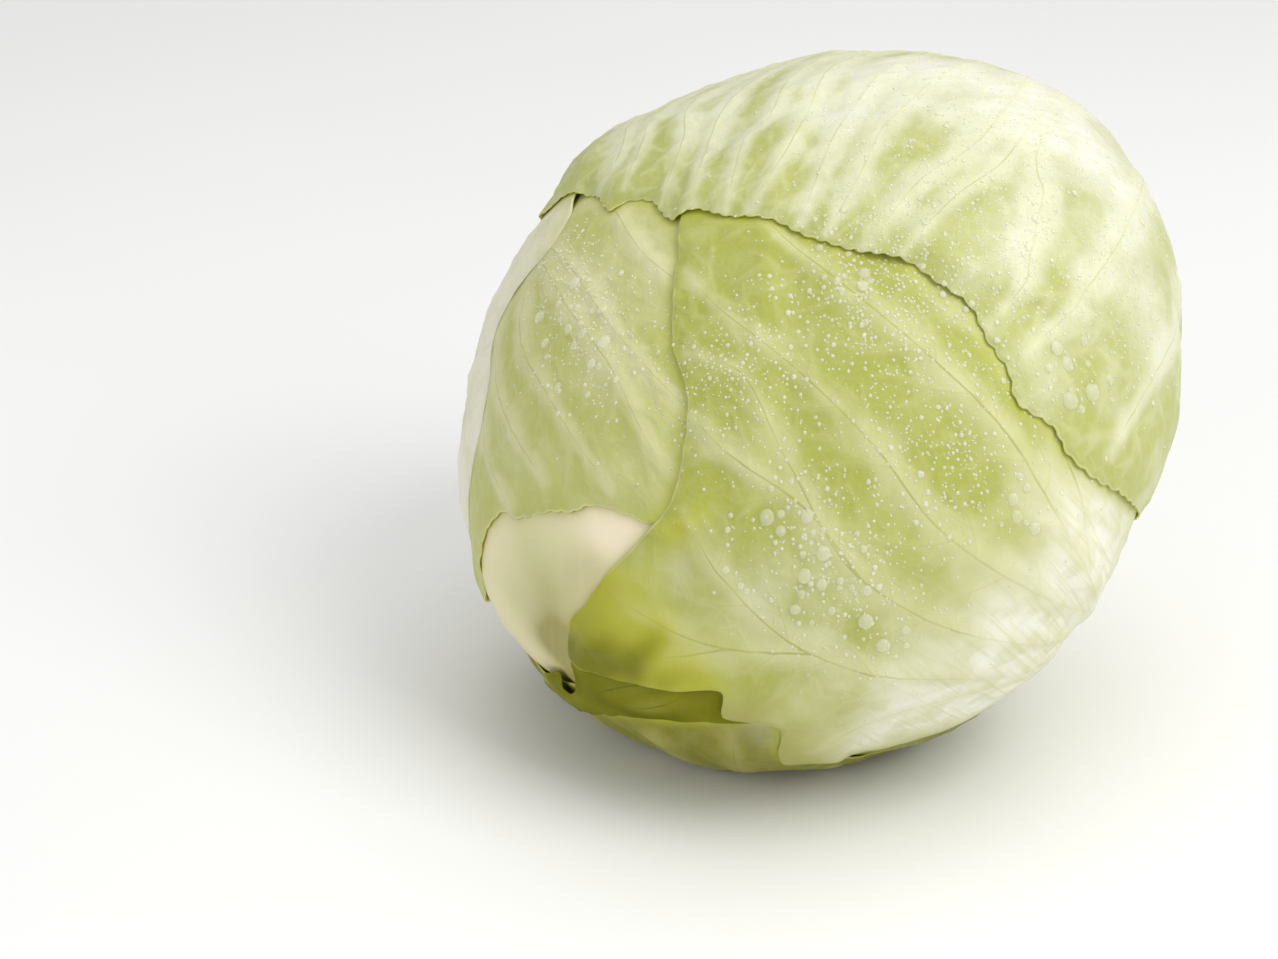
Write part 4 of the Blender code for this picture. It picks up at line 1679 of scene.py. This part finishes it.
@dataclass
class Dew:
    """Drops of water on the leaves, many fine ones and a few large.

    Each cluster has a direction, a spread in degrees, a number of drops and their radius in millimetres.
    """

    form: HeadForm
    leaves: Sequence[Piece]
    finish: WaterFinish = field(default_factory=WaterFinish)
    clearer: WaterFinish = field(default_factory=lambda: WaterFinish(cover=0.40))
    seed: int = 8
    biggest: float = 1.9
    cut: float = -0.22
    flattened: float = 0.62
    steepest: float = 0.8
    apart: float = 1.05
    looked_back: int = 220
    fine: Sequence[Cluster] = (
        (0.45, -0.30, 0.84, 26.0, 1150, 0.25),
        (0.60, -0.55, 0.58, 17.0, 800, 0.28),
        (0.15, -0.72, 0.68, 13.0, 600, 0.30),
        (0.20, -0.50, 0.84, 15.0, 420, 0.24),
        (-0.28, -0.84, 0.46, 13.0, 520, 0.26),
        (0.00, -0.99, 0.05, 12.0, 380, 0.30),
        (0.10, -0.97, -0.15, 10.0, 150, 0.27),
        (-0.74, -0.50, 0.45, 13.0, 420, 0.28),
        (-0.82, -0.12, 0.56, 9.0, 300, 0.24),
        (0.30, -0.90, 0.32, 14.0, 620, 0.27),
    )
    large: Sequence[Cluster] = (
        (-0.02, -1.00, 0.03, 8.0, 46, 0.72),
        (0.63, -0.68, 0.37, 4.5, 15, 1.15),
        (-0.80, -0.32, 0.50, 9.0, 22, 0.75),
        (0.48, -0.87, 0.12, 3.5, 9, 1.10),
        (0.18, -0.96, -0.20, 3.0, 6, 0.85),
        (0.05, -0.70, 0.71, 7.0, 22, 0.75),
        (-0.70, -0.60, 0.38, 5.0, 14, 0.80),
        (-0.88, -0.21, 0.42, 0.3, 1, 1.75),
    )

    def bead(self, name: str, rings: int, sides: int) -> tuple[Array, Array]:
        """Model one drop: a ball cut off low down and flattened.

        Args:
            name: what the model is called.
            rings: rings of the ball.
            sides: sides of the ball.

        Returns:
            The drop's points for a radius of 1, and its triangles.
        """
        deselected()
        bpy.ops.mesh.primitive_uv_sphere_add(segments=sides, ring_count=rings, radius=1.0)
        piece = named(name)
        bpy.ops.object.mode_set(mode="EDIT")
        bpy.ops.mesh.select_all(action="SELECT")
        bpy.ops.mesh.bisect(
            plane_co=(0.0, 0.0, self.cut), plane_no=(0.0, 0.0, -1.0), use_fill=True, clear_outer=True
        )
        bpy.ops.mesh.select_all(action="SELECT")
        bpy.ops.mesh.quads_convert_to_tris()
        bpy.ops.object.mode_set(mode="OBJECT")
        points = coordinates(piece.data) * np.array([1.0, 1.0, self.flattened])
        faces = np.array([tuple(face.vertices) for face in piece.data.polygons])
        bpy.data.objects.remove(piece)
        return points, faces

    def spots(self, clusters: Sequence[Cluster], chance: np.random.Generator) -> Array:
        """Scatter places for drops.

        Args:
            clusters: which clusters.
            chance: the seeded source of variety.

        Returns:
            A direction and a radius for each drop.
        """
        rows = []
        for x, y, z, spread, count, size in clusters:
            d = unit((x, y, z)) + math.radians(spread) * chance.normal(size=(count, 3)) * 0.62
            radius = size * np.exp(0.38 * chance.normal(size=(count, 1)))
            rows.append(np.concatenate([unit(d), np.minimum(radius, self.biggest)], axis=1))
        return np.concatenate(rows)

    def laid(
        self,
        name: str,
        finish: WaterFinish,
        model: tuple[Array, Array],
        clusters: Sequence[Cluster],
        chance: np.random.Generator,
    ) -> Piece:
        """Lay copies of a drop on the leaves.

        Args:
            name: the piece's name.
            finish: the water that they are made of.
            model: the drop's points and triangles.
            clusters: where they lie.
            chance: the seeded source of variety.

        Returns:
            The finished piece.
        """
        graph = bpy.context.evaluated_depsgraph_get()
        trees = [BVHTree.FromObject(leaf, graph) for leaf in self.leaves]
        centre = Vector(self.form.centre) / 1000.0
        kept: list[tuple[Array, float]] = []
        points, faces = [], []
        for x, y, z, radius in self.spots(clusters, chance):
            way = Vector((x, y, z))
            hits = [tree.ray_cast(centre + 0.14 * way, -way) for tree in trees]
            place, normal, _, _ = min(hits, key=lambda hit: math.inf if hit[0] is None else hit[3])
            if place is None or normal.dot(way) < self.steepest:
                continue
            at = np.array(place) * 1000.0
            nearby = kept[-self.looked_back :]
            if any(np.linalg.norm(at - other) < self.apart * (radius + size) for other, size in nearby):
                continue
            kept.append((at, radius))
            up = unit(np.array(normal))
            downhill = unit(np.array([0.0, 0.0, -1.0]) + up[2] * up + 1e-6)
            long, high = 1.0 + 0.22 * chance.random(), 1.0 - 0.25 * chance.random()
            local = model[0] * np.array([1.0, long, high]) * radius
            faces.append(model[1] + len(points) * len(local))
            points.append(at + local @ np.stack([np.cross(up, downhill), downhill, up]))
        corners = (np.concatenate(points) / 1000.0).tolist()
        piece = added(name, corners, np.concatenate(faces).tolist())
        piece.data.materials.append(finish.material(f"{name}_water"))
        return finished(piece, None)

    def build(self) -> list[Piece]:
        """Make the dew.

        Returns:
            The fine drops, high and low, and the large ones.
        """
        chance = np.random.default_rng(self.seed)
        half = len(self.fine) // 2
        bead, drop = self.bead("bead", 6, 6), self.bead("drop", 12, 18)
        return [
            self.laid("dew_high", self.finish, bead, self.fine[:half], chance),
            self.laid("dew_low", self.finish, bead, self.fine[half:], chance),
            self.laid("dew_large", self.clearer, drop, self.large, chance),
        ]


@dataclass
class Studio:
    """The pale floor, the soft light and the camera, with the photograph's view.

    Distances are in metres, the camera's aim and distance in millimetres. A lamp has a name, a place,
    a size, a power and a colour.
    """

    lens: float = 85.0
    sensor: float = 36.0
    away: float = 700.0
    down: float = math.radians(25.0)
    aim: Place = (-40.3, -7.0, 57.0)
    floor_size: float = 6.0
    floor_level: float = -0.0002
    sky: Colour = (0.98, 0.99, 1.0)
    sky_power: float = 0.55
    lit: Place = (0.0, 0.0, 0.07)
    lamps: Sequence[tuple[str, Place, float, float, Colour]] = (
        ("key", (0.75, -0.55, 1.05), 0.8, 11.0, (1.0, 0.99, 0.96)),
        ("top", (0.1, 0.2, 1.4), 1.2, 5.5, (1.0, 1.0, 1.0)),
        ("fill", (-0.9, -1.0, 0.6), 1.0, 3.5, (0.98, 0.99, 1.0)),
    )

    def floor(self) -> None:
        """Lay the floor."""
        deselected()
        bpy.ops.mesh.primitive_plane_add(size=self.floor_size, location=(0.0, 0.0, self.floor_level))
        piece = bpy.context.object
        piece.name = "floor"
        piece.data.materials.append(PaperFinish().material("floor_paper"))

    def light(self) -> None:
        """Set the world and the lamps."""
        world = bpy.data.worlds.new("studio")
        bpy.context.scene.world = world
        world.use_nodes = True
        back = world.node_tree.nodes["Background"]
        back.inputs["Color"].default_value = (*self.sky, 1.0)
        back.inputs["Strength"].default_value = self.sky_power
        bpy.context.scene.view_settings.view_transform = "Standard"
        for name, place, size, power, colour in self.lamps:
            lamp = bpy.data.lights.new(name, "AREA")
            lamp.size, lamp.energy, lamp.color = size, power, colour
            holder = bpy.data.objects.new(name, lamp)
            bpy.context.scene.collection.objects.link(holder)
            holder.location = place
            way = Vector(self.lit) - Vector(place)
            holder.rotation_euler = way.to_track_quat("-Z", "Y").to_euler()

    def camera(self) -> None:
        """Stand the camera where the photograph was taken from."""
        lens = bpy.data.cameras.new("camera")
        lens.lens, lens.sensor_width = self.lens, self.sensor
        lens.clip_start, lens.clip_end = 0.01, 20.0
        holder = bpy.data.objects.new("camera", lens)
        bpy.context.scene.collection.objects.link(holder)
        ahead = Vector((0.0, math.cos(self.down), -math.sin(self.down)))
        up = Vector((0.0, math.sin(self.down), math.cos(self.down)))
        turned = Matrix((ahead.cross(up), up, -ahead)).transposed().to_4x4()
        turned.translation = (Vector(self.aim) - self.away * ahead) / 1000.0
        holder.matrix_world = turned
        bpy.context.scene.camera = holder


LEAVES: dict[str, dict[str, object]] = {
    "under_leaf": {
        # dark green: partly the leaf's own colour, partly painted shade, as it shows only as a sliver low under
        # the head
        "finish": LeafFinish(
            green=(0.20, 0.205, 0.012), pale=(0.27, 0.27, 0.04), rib=(0.32, 0.32, 0.08),
            painted_shade=(0.26, 0.27, 0.02), rim=(0.30, 0.31, 0.06), shine=0.2,
        ),
        "cell": 3.4,
        "tints": {Tint.WHITE: [(0, -40, 24, 24, 0.5)]},
    },
    "right_leaf": {
        "finish": LeafFinish(pale=(0.64, 0.64, 0.40)),
        "cell": 2.9,
        "tints": {Tint.WHITE: [(0, -80, 34, 40, 0.7), (0, -20, 10, 60, 0.4)]},
    },
    "lower_leaf": {
        # darker than the outer leaves: partly its own deeper green, partly painted shade, as it lies low under
        # the head
        "finish": LeafFinish(
            green=(0.205, 0.20, 0.018), pale=(0.33, 0.31, 0.070), rib=(0.39, 0.37, 0.14),
            line=(0.22, 0.21, 0.04), gloss=0.5, shine=0.15,
        ),
        "cell": 2.5, "lift": 0.05, "frill": 1.0, "droop": 1.6,
        "tints": {
            # the patch at (24, 39) is painted light, lifting the place that the front leaf's notch shades
            Tint.WHITE: [(14, 50, 8, 4, 0.3), (24, 39, 7, 6, 0.38), (0, -60, 30, 20, 0.5)],
            Tint.GREEN: [(14, 29, 20, 8, 0.9), (11, 46, 8, 5, 0.6)],
        },
    },
    "left_leaf": {
        "finish": LeafFinish(
            green=(0.47, 0.49, 0.14), pale=(0.61, 0.60, 0.30), rib=(0.64, 0.62, 0.36), line=(0.40, 0.41, 0.14),
            shine=0.3,
        ),
        "cell": 2.6, "teeth": 0.55,
        "tints": {
            Tint.WHITE: [
                (-36, 74, 8, 16, 0.28), (-14, 86, 6, 24, 0.28), (-22, 63, 8, 12, 0.25), (40, -90, 40, 40, 0.6),
                (-8, 101, 8, 8, 0.15), (4, 125, 9, 9, 0.2), (39, 84, 8, 10, 0.2),
            ],
            Tint.GREEN: [
                (-6, 42, 12, 10, 0.45), (8, 68, 8, 12, 0.45), (22, 80, 8, 12, 0.45), (2, 101, 12, 12, 0.35),
                (19, 106, 10, 12, 0.22), (35, 114, 10, 10, 0.35), (44, 72, 8, 16, 0.35),
                (15, 124, 12, 14, 0.35), (-9, 142, 9, 10, 0.55),
            ],
        },
    },
    "back_leaf": {
        "finish": LeafFinish(
            green=(0.60, 0.59, 0.30), pale=(0.73, 0.70, 0.47), rib=(0.80, 0.76, 0.57), line=(0.58, 0.57, 0.34),
            white=(0.87, 0.82, 0.67), mottle=0.6,
        ),
        "cell": 2.9, "teeth": 0.0, "droop": 1.3,
        "calm": [(30, 30, 130)],
        "tints": {Tint.WHITE: [(0, -80, 34, 40, 0.7), (42, 10, 18, 70, 1.0), (8, 64, 34, 17, 1.0)]},
    },
    "curled_leaf": {
        # very dark green: partly the leaf's own colour, partly painted shade, as it lies in the shadow of the
        # front leaf
        "finish": LeafFinish(
            green=(0.170, 0.170, 0.003), pale=(0.19, 0.19, 0.008), rib=(0.28, 0.28, 0.05),
            line=(0.08, 0.085, 0.002), white=(0.50, 0.50, 0.20), yellow=(0.15, 0.15, 0.003),
            olive=(0.10, 0.10, 0.002), beige=(0.30, 0.30, 0.020), painted_shade=(0.12, 0.12, 0.003),
            rim=(0.26, 0.27, 0.03), gloss=0.55, shine=0.06,
        ),
        "cell": 2.4, "lift": 0.45, "frill": 3.0, "droop": 1.0,
        "calm": [(40, 6, 50), (70, 0, 30)],
        "tints": {
            Tint.WHITE: [(-33, 12, 5, 3, 0.6), (-10, 14, 6, 2, 0.3)],
            Tint.OLIVE: [(-14, 14, 14, 5, 0.55), (4, 13, 12, 5, 0.6)],
            Tint.BEIGE: [(-12, 29, 10, 4, 0.6), (4, 27, 9, 3, 0.5), (15, 18, 7, 4, 0.85)],
        },
    },
    "front_leaf": {
        "finish": LeafFinish(green=(0.395, 0.42, 0.085), white=(0.90, 0.87, 0.745), shine=0.22),
        "cell": 2.1, "teeth": 0.2,
        "calm": [
            (-46, -62, 22), (-74, -44, 18), (-62, -26, 22), (-80, -8, 16), (-26, -80, 30), (-22, -110, 30),
        ],
        "tints": {
            # the leaf whitens towards its base; the patches at (-27, -60) and (-54, -52), low on the limb, are
            # also painted light, making up for the shade low under the head
            Tint.WHITE: [
                (8, -48, 15, 17, 0.62), (-9, -62, 24, 17, 1.0), (18, -54, 13, 15, 0.45),
                (-27, -60, 20, 14, 1.0), (-40, -44, 13, 11, 0.65), (-12, -38, 12, 10, 0.55),
                (0, -90, 40, 30, 0.7), (-56, -25, 8, 8, 0.2), (-59, 15, 8, 7, 0.32), (-41, 0, 7, 6, 0.35),
                (-38, -13, 8, 7, 0.25), (-54, -52, 11, 9, 0.65),
            ],
            # the patch at (17, -11) is painted shade, toning down where the key lamp falls strongest
            Tint.GREEN: [
                (11, 67, 9, 10, 0.7), (-7, 61, 8, 9, 0.6), (7, 49, 9, 8, 0.45), (18, 38, 10, 9, 0.7),
                (16, 22, 9, 9, 0.6), (30, 28, 8, 10, 0.6), (-22, 46, 7, 8, 0.6), (-21, 33, 7, 9, 0.6),
                (-7, 33, 7, 11, 0.8), (-8, 19, 8, 10, 0.9), (7, 12, 8, 9, 0.7), (7, -2, 8, 9, 0.5),
                (27, 8, 7, 9, 0.35), (-26, 17, 8, 9, 0.35), (-44, 24, 9, 9, 0.8), (-38, 10, 8, 7, 0.15),
                (-22, -5, 8, 8, 0.45), (-17, -15, 8, 8, 0.4), (-3, -19, 8, 10, 0.25), (17, -11, 8, 8, 0.45),
                (-47, 12, 6, 6, 0.4),
            ],
            Tint.OLIVE: [
                (-101, 20, 13, 13, 0.78), (-91, 10, 11, 10, 0.44), (-84, 2, 9, 8, 0.62), (-76, -7, 7, 5, 0.54),
                (-79, 11, 12, 10, 0.18), (-94, 15, 7, 7, 0.3), (-80, 4, 6, 6, 0.08), (-73, 4, 7, 7, 0.34),
                (-70, 13, 7, 6, 0.12), (-60, -6, 8, 7, 0.2), (-70, 21, 8, 6, 0.16), (-71, -11, 4, 4, 0.22),
                (-86, 31, 10, 9, 0.42), (-76, 25, 9, 8, 0.28), (-47, 23, 10, 8, 0.36), (-58, 22, 8, 7, 0.14),
            ],
            Tint.BEIGE: [(-70, -38, 11, 12, 0.85), (-69, -21, 7, 7, 0.8)],
        },
    },
    "cap_leaf": {
        "finish": LeafFinish(
            green=(0.43, 0.455, 0.125), pale=(0.665, 0.665, 0.44), rib=(0.75, 0.74, 0.52),
            white=(0.835, 0.815, 0.70), line=(0.47, 0.49, 0.20), painted_shade=(0.52, 0.54, 0.08),
        ),
        "cell": 2.2, "teeth": 0.75, "tooth": 1.35, "ridge": 0.46, "lift": 0.12, "droop": 1.2,
        "tints": {
            Tint.WHITE: [
                (56, 52, 8, 8, 0.4), (41, -1, 12, 14, 0.6), (-31, 10, 6, 6, 0.4), (-55, -12, 7, 7, 0.3),
                (26, -24, 16, 12, 0.85), (8, -14, 13, 10, 0.9), (6, -29, 14, 10, 0.6), (23, -4, 14, 9, 0.75),
                (16, 10, 8, 9, 0.55), (-20, -29, 14, 9, 0.5), (-36, -38, 14, 10, 0.45), (-24, -2, 8, 7, 0.45),
                (-5, 32, 3, 9, 0.35), (30, 26, 11, 12, 0.75), (44, 12, 12, 12, 0.5), (25, -60, 30, 30, 0.6),
                (10, -110, 40, 30, 0.7),
            ],
            Tint.GREEN: [
                (2, 19, 9, 8, 0.55), (2, 45, 8, 7, 0.7), (17, 53, 9, 8, 0.3), (10, 64, 10, 7, 0.6),
                (39, 75, 8, 8, 0.6), (44, 90, 14, 7, 0.8), (26, 81, 12, 6, 0.7), (32, 84, 12, 5, 0.5),
                (34, 72, 8, 7, 0.75), (14, 73, 11, 5, 0.5), (3, 57, 8, 6, 0.5), (42, 91, 8, 5, 0.4),
                (54, 90, 12, 10, 0.2), (-12, 31, 8, 6, 0.45), (-24, 25, 8, 6, 0.85), (-32, 19, 7, 6, 0.75),
                (-13, 5, 8, 7, 0.3), (-32, -11, 8, 7, 0.4), (-44, 6, 7, 9, 0.75), (-56, -3, 8, 9, 0.75),
                (-50, -13, 10, 9, 0.4), (-64, -22, 7, 12, 0.55),
            ],
        },
    },
}


def main() -> None:
    """Build the cabbage piece by piece and set the studio."""
    logging.basicConfig(level=logging.INFO, format="%(message)s")
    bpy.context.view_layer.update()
    wrapping = Wrapping(HeadForm(), PATTERNS)
    leaves: list[Piece] = []
    for level, pattern in enumerate(PATTERNS):
        leaves.append(reported(Leaf(wrapping, level, **LEAVES[pattern.name]).build()))
    reported(InnerHead(wrapping).build())
    reported(Stump(wrapping).build())
    for piece in Dew(wrapping.form, leaves).build():
        reported(piece)
    studio = Studio()
    studio.floor()
    studio.light()
    studio.camera()


if __name__ == "__main__":
    main()
